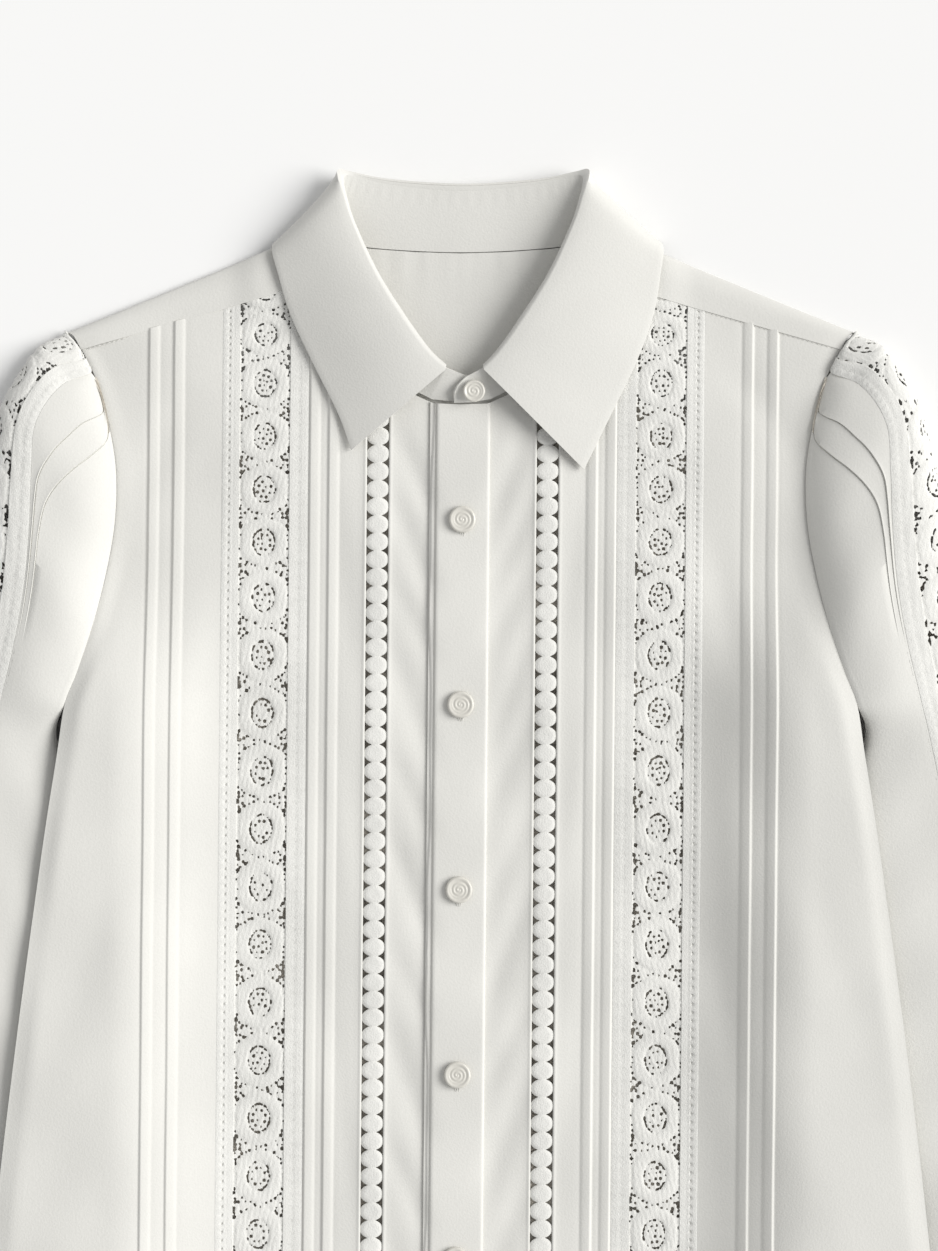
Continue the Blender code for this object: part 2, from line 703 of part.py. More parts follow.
def build_collar_stand():
    """The band between the neck seam and the fold, with one end lapped over the other."""
    middle = tab_lines(LEFT_TAB, LEFT_TAB_LEVEL, LEFT_TAB_HEIGHT)
    middle += [stand_line(side, row) for side, row in collar_rows()]
    middle += tab_lines(RIGHT_TAB, RIGHT_TAB_LEVEL, RIGHT_TAB_HEIGHT)
    normals = grid_normals(middle)
    half = CLOTH / 2
    outer = [[p + n * half for p, n in zip(row, line)] for row, line in zip(middle, normals)]
    inner = [[p - n * half for p, n in zip(row, line)] for row, line in zip(middle, normals)]
    add_wall("collar_stand", outer, inner)


def sleeve_section(index):
    """Named places of one sleeve section, right side."""
    fold_x, fold_y, lace_x, lace_y, end_x, end_y, fold_z, end_z, crown, under = SLEEVE[index]
    at_armhole = end_z is None
    return {
        "fold": Vector((fold_x, fold_y, fold_z)),
        "lace": Vector((lace_x, lace_y, 0.0)),
        "end": Vector((end_x, end_y, 0.0)),
        "crown": crown,
        "under": under,
        "at_armhole": at_armhole,
        "end_top": front_over(end_x - 0.3, end_y) if at_armhole else end_z,
        "end_below": back_under(end_x, end_y) if at_armhole else end_z,
    }


def crown_share(share, at_armhole):
    """Height along a section, from 0 at its ends to 1 at its crown."""
    away = abs(2.0 * share - 1.0)
    power = 1.0 if at_armhole and share > 0.5 else 0.55
    return max(0.0, 1.0 - away ** 2.6) ** power


def sleeve_top(section, share):
    """A point of the sleeve's upper side, from the outer fold (0) to the seam (1)."""
    fold = section["fold"]
    lace = section["lace"]
    end = section["end"]
    first = (lace.xy - fold.xy).length
    second = (end.xy - lace.xy).length
    reach = share * (first + second)
    if reach <= first:
        flat = fold.xy.lerp(lace.xy, reach / first)
    else:
        flat = lace.xy.lerp(end.xy, (reach - first) / second)
    base = fold.z + (section["end_top"] - fold.z) * share
    rise = section["crown"] - (fold.z + section["end_top"]) / 2
    return Vector((flat.x, flat.y, base + rise * crown_share(share, section["at_armhole"])))


def sleeve_below(section, share):
    """A point of the sleeve's underside, from the outer fold (0) to the seam (1)."""
    fold = section["fold"]
    end = section["end"]
    flat = fold.xy.lerp(end.xy, share)
    reach = (end.xy - fold.xy).length
    near_fold = max(0.0, 1.0 - share * reach / 9.0) ** 2
    far = max(0.0, 1.0 - (1.0 - share) * reach / (26.0 if section["at_armhole"] else 8.0)) ** 2
    return Vector((flat.x, flat.y, fold.z * near_fold + section["end_below"] * far))


def top_length(section):
    """Length of a section's upper side, seen from above."""
    first = (section["lace"].xy - section["fold"].xy).length
    return first + (section["end"].xy - section["lace"].xy).length


def lace_share(section):
    return (section["lace"].xy - section["fold"].xy).length / top_length(section)


def mirrored(point, side):
    """A point of the right half on its own side, never below the resting surface."""
    return Vector((side * point.x, point.y, max(0.0, point.z)))


def finish_seam(section, row, beyond, upward):
    """Draw a row's last point back from its seam, and add the margin past it."""
    away = (row[-1].xy - row[-2].xy).normalized() * SEAM
    row[-1].x -= away.x
    row[-1].y -= away.y
    if section["at_armhole"]:
        row.append(row[-1] * 2 - row[-2])
    else:
        row[-1].z += upward * SEAM
        row.append(beyond(section, 1.0 - MARGIN_SHARE))


def sleeve_front_row(section, pleats, side):
    """Points across the sleeve's upper side, past the lace, with a margin at each end."""
    start = lace_share(section) + 0.006
    row = [sleeve_top(section, start - MARGIN_SHARE)]
    first, second, share_up = pleats
    rise = CAP_PLEAT_RISE * share_up
    gates = [(0.0, 0.0)]
    for gate in (first, second):
        gates += [(gate - 0.01, rise), (gate, 0.0)]
    half_gap = HALF_SEAM / (top_length(section) * (1.0 - start) * (1.0 - second))
    parts = (FRONT_SPLIT - half_gap, FRONT_SPLIT + half_gap) + FRONT_COLUMNS
    gates += [(second + (1.0 - second) * part, 0.0) for part in parts]
    for gate, up in gates:
        point = sleeve_top(section, start + (1.0 - start) * gate)
        point.z += up
        row.append(point)
    finish_seam(section, row, sleeve_below, 1)
    return [mirrored(p, side) for p in row]


def build_sleeve_front(word, side):
    """From the front edge of the lace to the armhole and the underarm seam."""
    outer = []
    for index in range(len(SLEEVE)):
        pleats = CAP_PLEATS[min(index, len(CAP_PLEATS) - 1)]
        outer.append(sleeve_front_row(sleeve_section(index), pleats, side))
    above = outer[FRONT_SPLIT_ROW]
    below = outer[FRONT_SPLIT_ROW + 1]
    hairline = SEAM / (below[-2] - above[-2]).length
    outer.insert(FRONT_SPLIT_ROW + 1, [a.lerp(b, hairline) for a, b in zip(above, below)])
    names = ("sleeve_front_" + word, "sleeve_front_edge_" + word)
    add_split_walls(names, outer, -CLOTH * side, FRONT_SPLIT_COLUMN, FRONT_SPLIT_ROW)


def build_sleeve_back(word, side):
    """The underside, from the back edge of the lace to the armhole and underarm seam."""
    outer = []
    for index in range(len(SLEEVE)):
        section = sleeve_section(index)
        reach = (section["end"].xy - section["fold"].xy).length
        start = under_share(section) + SEAM / reach
        row = [sleeve_below(section, start - MARGIN_SHARE)]
        half_gap = HALF_SEAM / (reach * (1.0 - start))
        gates = UNDER_COLUMNS + (UNDER_SPLIT - half_gap, UNDER_SPLIT + half_gap) + UNDER_END_COLUMNS
        row += [sleeve_below(section, start + (1.0 - start) * gate) for gate in gates]
        finish_seam(section, row, sleeve_top, -1)
        outer.append([mirrored(p, side) for p in row])
    names = ("sleeve_back_" + word, "sleeve_back_edge_" + word)
    add_split_walls(names, outer, CLOTH * side, UNDER_SPLIT_COLUMN)


def under_share(section):
    """How far along the underside the lace reaches."""
    return section["under"] / (section["end"].xy - section["fold"].xy).length


def lace_path(section):
    """Points round the outer fold, from the lace's front edge to its back edge."""
    front = lace_share(section)
    back = under_share(section)
    path = [sleeve_top(section, front * (1 - k / 10) ** 1.6) for k in range(11)]
    path += [sleeve_below(section, back * (k / 8) ** 1.6) for k in range(1, 9)]
    return path


def along_path(path, share):
    """The point at a share of a path's length."""
    lengths = [(b - a).length for a, b in zip(path, path[1:])]
    left = share * sum(lengths)
    for start, end, length in zip(path, path[1:], lengths):
        if left <= length:
            return start.lerp(end, left / length)
        left -= length
    return path[-1].copy()


def blended_section(place):
    """A sleeve section between two rows of the table."""
    index = min(int(place), len(SLEEVE) - 2)
    part = place - index
    first = sleeve_section(index)
    second = sleeve_section(index + 1)
    mixed = {}
    for key in ("fold", "lace", "end"):
        mixed[key] = first[key].lerp(second[key], part)
    for key in ("crown", "under", "end_top", "end_below"):
        mixed[key] = first[key] + (second[key] - first[key]) * part
    mixed["at_armhole"] = second["at_armhole"]
    return mixed


def lace_stops():
    """Places along the sleeve where its lace cells meet."""
    stops = [float(k) for k in range(SLEEVE_LONG)]
    stops += [SLEEVE_LONG + k / 2 for k in range(2 * (SLEEVE_LAST_CELL - SLEEVE_LONG) + 1)]
    return stops + [len(SLEEVE) - 1.0]


def build_sleeve_lace(name, side):
    """The lace insertion that runs down the outer fold, from the shoulder to the cuff."""
    stops = lace_stops()
    gates = (0.006, 0.12, 0.22, 0.78, 0.89, 0.996)
    rises = (0.0, BORDER_RISE, 0.0, 0.0, 0.0, 0.0)
    middle = []
    for stop in stops:
        section = blended_section(stop)
        path = lace_path(section)
        row = [sleeve_top(section, lace_share(section) + MARGIN_SHARE)]
        row += [along_path(path, g) for g in gates]
        row.append(sleeve_below(section, under_share(section) + MARGIN_SHARE))
        middle.append(row)
    normals = [line[1:-1] for line in grid_normals(middle)]
    middle = [row[1:-1] for row in middle]
    outer = []
    inner = []
    for row, line in zip(middle, normals):
        outer.append([mirrored(p + n * rise, side) for p, n, rise in zip(row, line, rises)])
        inner.append([mirrored(p - n * CLOTH, side) for p, n in zip(row, line)])

    def medallion(cell, angle, radius, rise):
        start = stops[cell + SLEEVE_FIRST_CELL]
        end = stops[cell + SLEEVE_FIRST_CELL + 1]
        share = 0.5 + 0.27 * math.cos(angle) * radius / MEDALLION_RADIUS
        place = start + (end - start) * (0.5 + radius * math.sin(angle) / MEDALLION_PITCH)
        path = lace_path(blended_section(place))
        point = along_path(path, share)
        along = along_path(lace_path(blended_section(place + 0.05)), share) - point
        across = along_path(path, min(1.0, share + 0.02)) - point
        normal = along.cross(across).normalized()
        return mirrored(point + normal * rise, side)

    add_lace(name, outer, inner, len(stops) - SLEEVE_FIRST_CELL - 2, medallion)


def cuff_ring(side, share, inset):
    """Points round the cuff at a share of its length, this far inside its outer side."""
    last = sleeve_section(len(SLEEVE) - 1)
    fold = last["fold"]
    across = (last["end"].xy - fold.xy).normalized()
    down = Vector((-across.y, across.x))
    pinch = CUFF_NARROWING * (0.5 + share)
    start = fold.xy + across * pinch + down * (SEAM * 2 + CUFF_LENGTH * share)
    half_width = (last["end"].xy - fold.xy).length / 2 - pinch
    half_height = (CUFF_HEIGHT - CUFF_FLATTENING * share) / 2
    ring = []
    for k in range(CUFF_SIDES):
        turn = math.tau * k / CUFF_SIDES
        over = math.copysign(abs(math.cos(turn)) ** SIDE_ROUNDNESS, math.cos(turn))
        up = math.copysign(abs(math.sin(turn)) ** TOP_ROUNDNESS, math.sin(turn))
        flat = start + across * (half_width - (half_width - inset) * over)
        ring.append(mirrored(Vector((flat.x, flat.y, half_height + (half_height - inset) * up)), side))
    return ring


def build_cuff(name, side):
    """A flattened ring below the sleeve, with its opening facing down the sleeve."""
    shares = (0.0, 0.5, 1.0)
    outer = [cuff_ring(side, share, 0.0) for share in shares]
    inner = [cuff_ring(side, share, CLOTH) for share in shares]
    add_wall(name, outer, inner, ring=True)


def build_button(name, x, y, base, radius=BUTTON_RADIUS):
    """A turned disc with a raised rim round a shallow dish."""
    points = [(x, y, base), (x, y, base + BUTTON_THICK * BUTTON_DISH)]
    for share, rise in BUTTON_PROFILE:
        for k in range(BUTTON_SIDES):
            turn = math.tau * k / BUTTON_SIDES
            reach = radius * share
            height = base + BUTTON_THICK * rise
            points.append((x + reach * math.cos(turn), y + reach * math.sin(turn), height))
    faces = []
    levels = len(BUTTON_PROFILE)
    for k in range(BUTTON_SIDES):
        after = (k + 1) % BUTTON_SIDES
        faces.append((0, 2 + after, 2 + k))
        for level in range(levels - 1):
            low = 2 + level * BUTTON_SIDES
            high = low + BUTTON_SIDES
            faces.append((low + k, low + after, high + after, high + k))
        top = 2 + (levels - 1) * BUTTON_SIDES
        faces.append((top + k, top + after, 1))
    add_solid(name, points, faces, BUTTON_COLOUR)


def build_buttons():
    for k in range(BUTTON_COUNT):
        y = BUTTON_FIRST_Y - BUTTON_PITCH * k
        x = lean(y)
        top = max(front_over(x + dx, y + dy) for dx in (-8, 0, 8) for dy in (-8, 0, 8))
        build_button("button_%d" % (k + 1), x, y, top + PLACKET_RISE + 0.1 + SEAM)
    x, y = COLLAR_BUTTON
    base = front_over(0.0, y) + COLLAR_BUTTON_LEVEL
    build_button("button_collar", x, y, base, radius=SMALL_BUTTON_RADIUS)


def build_cuff_buttons():
    last = sleeve_section(len(SLEEVE) - 1)
    across = (last["end"].xy - last["fold"].xy).normalized()
    down = Vector((-across.y, across.x))
    centre = last["fold"].xy + across * CUFF_BUTTON_REACH + down * CUFF_BUTTON_DOWN
    for name, side in (("button_cuff_left", -1), ("button_cuff_right", 1)):
        build_button(name, side * centre.x, centre.y, CUFF_BUTTON_LEVEL, radius=SMALL_BUTTON_RADIUS)


def build_blouse():
    for old in list(bpy.data.objects):
        bpy.data.objects.remove(old)
    build_back()
    build_yoke()
    build_collar_stand()
    build_collar_leaf()
    build_placket()
    for word, side in (("left", -1), ("right", 1)):
        build_side_front("front_side_" + word, side)
        build_lace_band("front_lace_" + word, side)
        build_middle_front("front_middle_" + word, side)
        build_disc_trim("disc_trim_" + word, side)
        build_inner_front("front_inner_" + word, side)
        build_sleeve_front(word, side)
        build_sleeve_lace("sleeve_lace_" + word, side)
        build_sleeve_back(word, side)
        build_cuff("cuff_" + word, side)
    build_buttons()
    build_cuff_buttons()


build_blouse()
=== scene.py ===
"""The looks of a lace blouse laid flat, face up, sleeves drawn down beside the body.

Lengths below are millimetres and add_mesh turns them into metres. X runs across the
blouse, +Y from the hem to the collar, and +Z up from the surface it lies on.
In the tables Y is measured from the neck end of the shoulders and falls to the hem.
"""
import math

import bmesh
import bpy
import numpy as np
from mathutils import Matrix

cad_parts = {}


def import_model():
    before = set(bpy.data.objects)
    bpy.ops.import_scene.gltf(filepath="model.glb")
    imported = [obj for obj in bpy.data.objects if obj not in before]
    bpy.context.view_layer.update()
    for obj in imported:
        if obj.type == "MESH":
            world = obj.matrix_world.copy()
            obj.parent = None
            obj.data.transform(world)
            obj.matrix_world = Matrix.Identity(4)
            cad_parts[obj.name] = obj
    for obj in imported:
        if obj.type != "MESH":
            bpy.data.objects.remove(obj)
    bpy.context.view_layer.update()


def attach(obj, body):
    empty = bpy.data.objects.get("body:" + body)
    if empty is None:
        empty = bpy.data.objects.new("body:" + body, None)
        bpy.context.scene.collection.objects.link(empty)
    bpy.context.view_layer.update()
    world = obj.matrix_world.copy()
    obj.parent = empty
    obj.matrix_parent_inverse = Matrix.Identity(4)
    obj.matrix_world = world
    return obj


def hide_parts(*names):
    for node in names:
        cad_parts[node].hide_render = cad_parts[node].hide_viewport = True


MM = 0.001
ORIGIN_Y = -319.0
HEM_Y = -680.0
UNDERARM_Y = -236.0
BACK_SEAM_Y = -78.0
CLOTH = 1.2
SHELL = 0.8
SEAM = 0.02

# How fine the meshes are: rows, columns, or millimetres between two rows
FRONT_ROWS = 125
SIDE_ROWS = 130
BACK_ROWS = 45
LACE_COLUMNS = 42
LACE_STEP = 0.97
BORDER_COLUMNS = 11
BORDER_STEP = 1.1
SLEEVE_LACE_ROWS = 480
SLEEVE_BORDER_ROWS = 380
CUFF_SIDES = 96
BUTTON_SIDES = 72

# The front's own lines lean a little to one side as they run down
LEAN_AT_TOP = 2.0
LEAN_PER_MM = 0.009

# Half widths from the middle of the front to each line of the right half
PLACKET_HALF = 14.0
UNDERLAP_REACH = 10.5
PLACKET_RISE = CLOTH + 0.9
TRIM_CENTRE = 44.3
TRIM_HALF = 5.7
LACE_INNER = 80.5
LACE_MIDDLE = 103.5
LACE_OUTER = 125.8
COLUMN_HALF = 13.2
INNER_TUCKS = (70.3, 80.2)
OUTER_TUCKS = (151.3, 164.3)
TUCK_WIDTH = 5.9
TUCK_RISE = 1.3
TUCK_LOOK = 0.95

# Lace medallions and the small discs of the ladder trim
MEDALLION_PITCH = 30.2
LACE_FIRST_Y = -31.5
LACE_SECOND_Y = -55.1
TOP_CELLS = 5
TOP_CELL_PITCH = 27.6
LACE_CELLS = 24
DISC_PITCH = 9.2
DISC_THICK = 1.4
DISC_STEPS = 12
DISC_COLUMNS = (-1.0, -0.96, -0.85, -0.66, -0.42, -0.14, 0.14, 0.42, 0.66, 0.85, 0.96, 1.0)

# How high the sides of the body lie over the tucked sleeves
SIDE_LIFT = 19.5
LIFT_FROM = 112.0
LIFT_TO = 182.0
COLLAR_LIFT = 2.8
YOKE_OVERLAP = 0.8

# Buttons
BUTTON_RADIUS = 7.0
SMALL_BUTTON_RADIUS = 5.8
BUTTON_THICK = 2.8
BUTTON_FIRST_Y = -140.0
BUTTON_PITCH = 96.5
BUTTON_COUNT = 6

# Columns: y, half width of the body there
BODY_EDGE = ((-41, 207), (-51, 198.5), (-66, 190.8), (-84, 185.1), (-112, 180.2), (-140, 180.5),
             (-168, 185), (-196, 191.5), (-220, 199), (-236, 205), (-262, 209), (-314, 217),
             (-418, 231), (-522, 243), (-680, 258))
SHOULDER_END = (198.2, -50.6)

# Columns: half distance from the middle, y of the neck seam at the front and at the back
FRONT_NECK = ((0, -80), (14, -79.5), (24, -75), (36, -67), (50, -52), (60, -38), (66, -26), (70, -14))
BACK_NECK = ((0, -1), (24, -0.3), (48, 1.5), (64, 4), (72, 7))

# Collar, right half. Columns: place along it, fold x y z, outer edge x y z, neck seam x y.
# An outer edge with z of -1 lies on the front.
COLLAR = (
    (0.00, 0.0, 35.0, 7.5, 0.0, -9.0, 0.0, 0.0, -0.7),
    (0.12, 22.0, 36.0, 7.5, 24.0, -9.0, 0.0, 24.0, 0.0),
    (0.24, 42.0, 38.0, 8.5, 50.0, -8.5, 0.0, 48.0, 1.8),
    (0.34, 57.0, 41.0, 10.5, 74.0, -5.0, 0.0, 64.0, 4.5),
    (0.40, 63.5, 42.0, 13.0, 86.0, 0.5, 0.0, 71.0, 7.5),
    (0.45, 64.0, 37.5, 15.5, 99.5, 5.0, 1.4, 75.0, 6.0),
    (0.50, 61.0, 27.0, 17.5, 102.0, 0.5, 9.6, 74.0, 0.0),
    (0.56, 56.5, 13.0, 19.0, 100.5, -12.0, -1, 71.6, -9.0),
    (0.66, 45.0, -13.0, 19.5, 97.0, -33.0, -1, 66.0, -26.0),
    (0.78, 31.0, -36.0, 18.5, 88.0, -58.0, -1, 53.0, -48.0),
    (0.90, 18.0, -54.0, 17.0, 74.0, -87.0, -1, 36.0, -67.0),
    (1.00, 10.0, -62.5, 16.0, 60.7, -114.0, -1, 16.0, -78.5),
)

# The collar lies a little to one side, and its left leaf is narrower. Columns: place, change
COLLAR_SHIFT = 3.5
RIGHT_FOLD_SHIFT = 2.5
FRONT_FOLD_SHIFT = 2.0
LEFT_LEAF_INWARD = ((0.50, 0.0), (0.66, 4.5), (0.78, 7.0), (0.90, 6.5), (1.00, 0.0))
LEFT_LEAF_UPWARD = ((0.78, 0.0), (0.90, 2.0), (1.00, 10.0))

# Sleeve, right one. Columns: outer fold x y, front edge of the lace x y, armhole or inner
# fold x y, height of the outer fold, height of the inner fold (-1 at the armhole), height
# of the crown, width of the lace that turns under the outer fold.
SLEEVE = (
    (207.6, -41.4, 193.6, -62.3, 190.8, -66, 4.4, -1, 7.2, 10),
    (222.5, -53, 209.5, -72.5, 185.1, -84, 7.2, -1, 15.0, 20),
    (238, -78, 220.5, -91, 180.2, -112, 9.0, -1, 19.0, 21),
    (246, -106, 222.5, -115, 180.5, -140, 9.0, -1, 20.0, 20),
    (252, -134.5, 223.5, -143, 185, -168, 9.0, -1, 20.5, 17),
    (258, -163.5, 226, -173, 191.5, -196, 9.0, -1, 21.0, 14),
    (264, -192.5, 231, -203, 199, -220, 9.0, -1, 21.5, 11),
    (270.5, -221, 237.5, -231, 205, -236, 9.0, -1, 21.5, 9),
    (277.5, -249.5, 244, -258, 209.5, -256, 9.0, 13.0, 20.0, 7),
    (290, -307, 256, -316, 190, -300, 9.0, 7.5, 18.0, 5),
    (301.5, -365, 267, -373, 182, -357, 9.0, 6.0, 17.7, 5),
    (313, -423, 278, -431, 192, -422, 9.0, 6.0, 17.5, 5),
    (324.5, -481, 289.5, -488.5, 212, -492, 9.0, 6.0, 17.2, 5),
    (336.8, -537.5, 302.5, -544.5, 239, -555, 8.2, 6.0, 15.5, 5),
    (342, -560, 308, -566.7, 246, -579, 8.0, 6.0, 14.5, 5),
)
ARMHOLE_ROWS = 8
SLEEVE_LONG = 8
SLEEVE_LAST_CELL = 13
CUFF_LENGTH = 60.0
CUFF_NARROWING = 4.0
SLEEVE_LACE_HALF = 22.3

# Two pleats in each sleeve cap, at every half section from the shoulder. Columns: where each
# one's edge crosses the section, from the lace (0) to the armhole (1), and how far the
# pleats stand up there (0 to 1).
CAP_PLEATS = (
    (0.955, 0.98, 0.0),
    (0.955, 0.98, 0.0),
    (0.95, 0.98, 0.8),
    (0.575, 0.95, 1.0),
    (0.37, 0.727, 1.0),
    (0.213, 0.50, 1.0),
    (0.095, 0.31, 0.95),
    (0.058, 0.18, 0.85),
    (0.045, 0.13, 0.7),
    (0.04, 0.12, 0.55),
    (0.04, 0.12, 0.4),
    (0.04, 0.12, 0.25),
    (0.04, 0.12, 0.0),
)
CAP_PLEAT_RISE = 0.9
CAP_PLEAT_GROOVE = 0.75

# Soft troughs (below 0) and ridges in the front. Columns: start x y, end x y, width, height
CREASES = (
    (37, -86, 15, -142, 6.3, -1.44),
    (38, -126, 16, -176, 5.4, -1.12),
    (37, -160, 15, -206, 6.8, -1.28),
    (36, -196, 15, -262, 5.4, -0.96),
    (37, -238, 14, -290, 7.2, -1.44),
    (36, -292, 14, -340, 5.9, -0.96),
    (36, -330, 13, -392, 6.3, -1.28),
    (35, -392, 13, -436, 5.4, -0.96),
    (35, -428, 12, -492, 7.2, -1.44),
    (34, -486, 12, -540, 6.3, -1.12),
    (34, -545, 11, -610, 6.3, -1.12),
    (-34, -94, -12, -140, 5.9, -1.28),
    (-36, -128, -14, -182, 6.3, -1.44),
    (-36, -172, -14, -214, 5.4, -0.96),
    (-37, -206, -14, -270, 7.2, -1.28),
    (-37, -262, -15, -306, 5.4, -0.96),
    (-38, -304, -15, -362, 6.3, -1.44),
    (-38, -362, -16, -404, 5.9, -0.96),
    (-39, -402, -17, -466, 7.2, -1.28),
    (-40, -462, -17, -512, 5.4, -1.12),
    (-40, -512, -18, -580, 6.8, -1.28),
    (66, -96, 56, -190, 6, -0.6),
    (68, -230, 54, -330, 6, 0.48),
    (66, -360, 56, -470, 6, -0.6),
    (-66, -120, -58, -220, 6, -0.6),
    (-68, -260, -56, -350, 6, 0.48),
    (-68, -390, -58, -500, 6, -0.6),
    (140, -60, 176, -104, 9, -1.08),
    (130, -150, 150, -240, 9, -0.96),
    (136, -250, 150, -380, 10, 0.84),
    (132, -360, 152, -470, 9, -0.96),
    (176, -180, 204, -262, 10, 1.2),
    (170, -300, 214, -420, 13, -0.96),
    (180, -470, 226, -600, 14, 0.84),
    (-140, -70, -172, -130, 10, -0.84),
    (-134, -170, -150, -290, 9, 0.72),
    (-134, -330, -152, -450, 10, -0.84),
    (-176, -176, -206, -270, 11, 1.08),
    (-172, -310, -216, -430, 13, -0.84),
    (-184, -450, -230, -590, 14, 0.84),
)

# Finishes, linear red green blue
COTTON = (0.705, 0.696, 0.66)
LACE_WHITE = (0.755, 0.748, 0.715)
BUTTON_WHITE = (0.66, 0.64, 0.585)
# The colour below is painted shade: a darker tone for inner sides of the cloth that lie in shade, not the
# cotton's own colour.
PAINTED_SHADE_INSIDE = (0.66, 0.62, 0.55)
THREAD = (0.72, 0.71, 0.68)
FLOOR = (0.90, 0.898, 0.892)

# Light and camera
SKY_COLOUR = (0.985, 0.992, 1.0, 1.0)
SKY_STRENGTH = 0.48
SUN_COLOUR = (1.0, 0.992, 0.975)
SUN_STRENGTH = 3.15
SUN_SPREAD = math.radians(40)
SUN_TURN = (math.radians(-7), math.radians(55), 0.0)
CAMERA_PLACE = (0.0042, 0.1237, 2.0)
FRAME_HEIGHT = 0.6505
FRAME_LEVEL = 0.012
SENSOR = 36.0


def ease(start, end, value):
    """0 before start, 1 after end, and a smooth rise between them."""
    share = np.clip((np.asarray(value, float) - start) / (end - start), 0.0, 1.0)
    return share * share * (3 - 2 * share)


def spline(rows, place):
    """A smooth curve through rows of numbers, at row numbers that need not be whole."""
    rows = np.asarray(rows, float)
    last = len(rows) - 1
    place = np.clip(np.asarray(place, float), 0.0, last)
    index = np.minimum(place.astype(int), last - 1)
    t = (place - index)[..., None]
    before = rows[np.maximum(index - 1, 0)]
    start = rows[index]
    end = rows[index + 1]
    after = rows[np.minimum(index + 2, last)]
    square = (2 * before - 5 * start + 4 * end - after) * t ** 2
    cube = (3 * start - before - 3 * end + after) * t ** 3
    return 0.5 * (2 * start + (end - before) * t + square + cube)


EDGE_CURVE = spline(BODY_EDGE, np.linspace(0, len(BODY_EDGE) - 1, 600))


def lean(y):
    return LEAN_AT_TOP + LEAN_PER_MM * y


def body_edge(y):
    return np.interp(-np.asarray(y, float), -EDGE_CURVE[:, 0], EDGE_CURVE[:, 1])


def yoke_seam_y(x):
    """The front yoke seam, forward of the shoulder ridge."""
    return -22.0 - (np.abs(x) - 98.0) * 0.285


def shoulder_y(x):
    """The ridge of the shoulder, from the neck to the sleeve."""
    return -(np.abs(x) - 101.0) * 0.406


def front_top_y(x):
    """Upper edge of the front: the neck seam, then the yoke seam."""
    x = np.abs(np.asarray(x, float))
    neck = np.interp(x, [r[0] for r in FRONT_NECK], [r[1] for r in FRONT_NECK])
    return np.where(x < 70.0, neck, yoke_seam_y(x))


def back_under(x, y):
    """Height of the back's underside: flat, but lifted by the sleeves and the collar."""
    sideways = ease(LIFT_FROM, LIFT_TO, np.abs(x))
    along = ease(-150.0, -245.0, y) * (1.0 - ease(-520.0, -672.0, y))
    near_collar = (1.0 - ease(104.0, 122.0, np.abs(x))) * ease(-46.0, -16.0, y)
    return SIDE_LIFT * sideways * along + COLLAR_LIFT * near_collar


def drape(x, y):
    """Soft slanting waves in the cloth of the front."""
    first = np.sin((y + 0.9 * x) * math.tau / 105.0 + 0.6)
    second = np.sin((y - 1.3 * x) * math.tau / 150.0 + 2.0)
    return 0.55 * first + 0.45 * second


def front_over(x, y):
    """Height of the front's upper side."""
    inward = body_edge(y) - np.abs(x)
    at_armhole = 1.0 - ease(-190.0, UNDERARM_Y, y)
    edge_room = 0.4 + 2.1 * at_armhole
    room = 2.2 + drape(x, y)
    return back_under(x, y) + 2 * CLOTH + edge_room + (room - edge_room) * ease(0.0, 10.0, inward)


def lace_line(k):
    """Where repeat k of the front's lace starts. The repeats at the top are shorter."""
    if k <= 0:
        return LACE_FIRST_Y - (LACE_FIRST_Y - LACE_SECOND_Y) * k
    top = min(k, TOP_CELLS)
    return LACE_SECOND_Y - TOP_CELL_PITCH * (top - 1) - MEDALLION_PITCH * (k - top)


def creases(x, y):
    """Height that the listed troughs and ridges add to the front."""
    total = np.zeros(np.broadcast(x, y).shape)
    for x1, y1, x2, y2, width, height in CREASES:
        dx, dy = x2 - x1, y2 - y1
        length = math.hypot(dx, dy)
        along = ((x - x1) * dx + (y - y1) * dy) / length
        across = ((x - x1) * dy - (y - y1) * dx) / length
        ends = ease(-0.15 * length, 0.3 * length, along) * (1 - ease(0.7 * length, 1.15 * length, along))
        total += height * ends * np.exp(-(across / width) ** 2)
    return total


# Materials
def principled(name, colour, roughness, **sockets):
    material = bpy.data.materials.new(name)
    material.use_nodes = True
    shader = material.node_tree.nodes["Principled BSDF"]
    shader.inputs["Base Color"].default_value = (*colour, 1.0)
    shader.inputs["Roughness"].default_value = roughness
    for socket, value in sockets.items():
        shader.inputs[socket.replace("_", " ")].default_value = value
    return material, shader


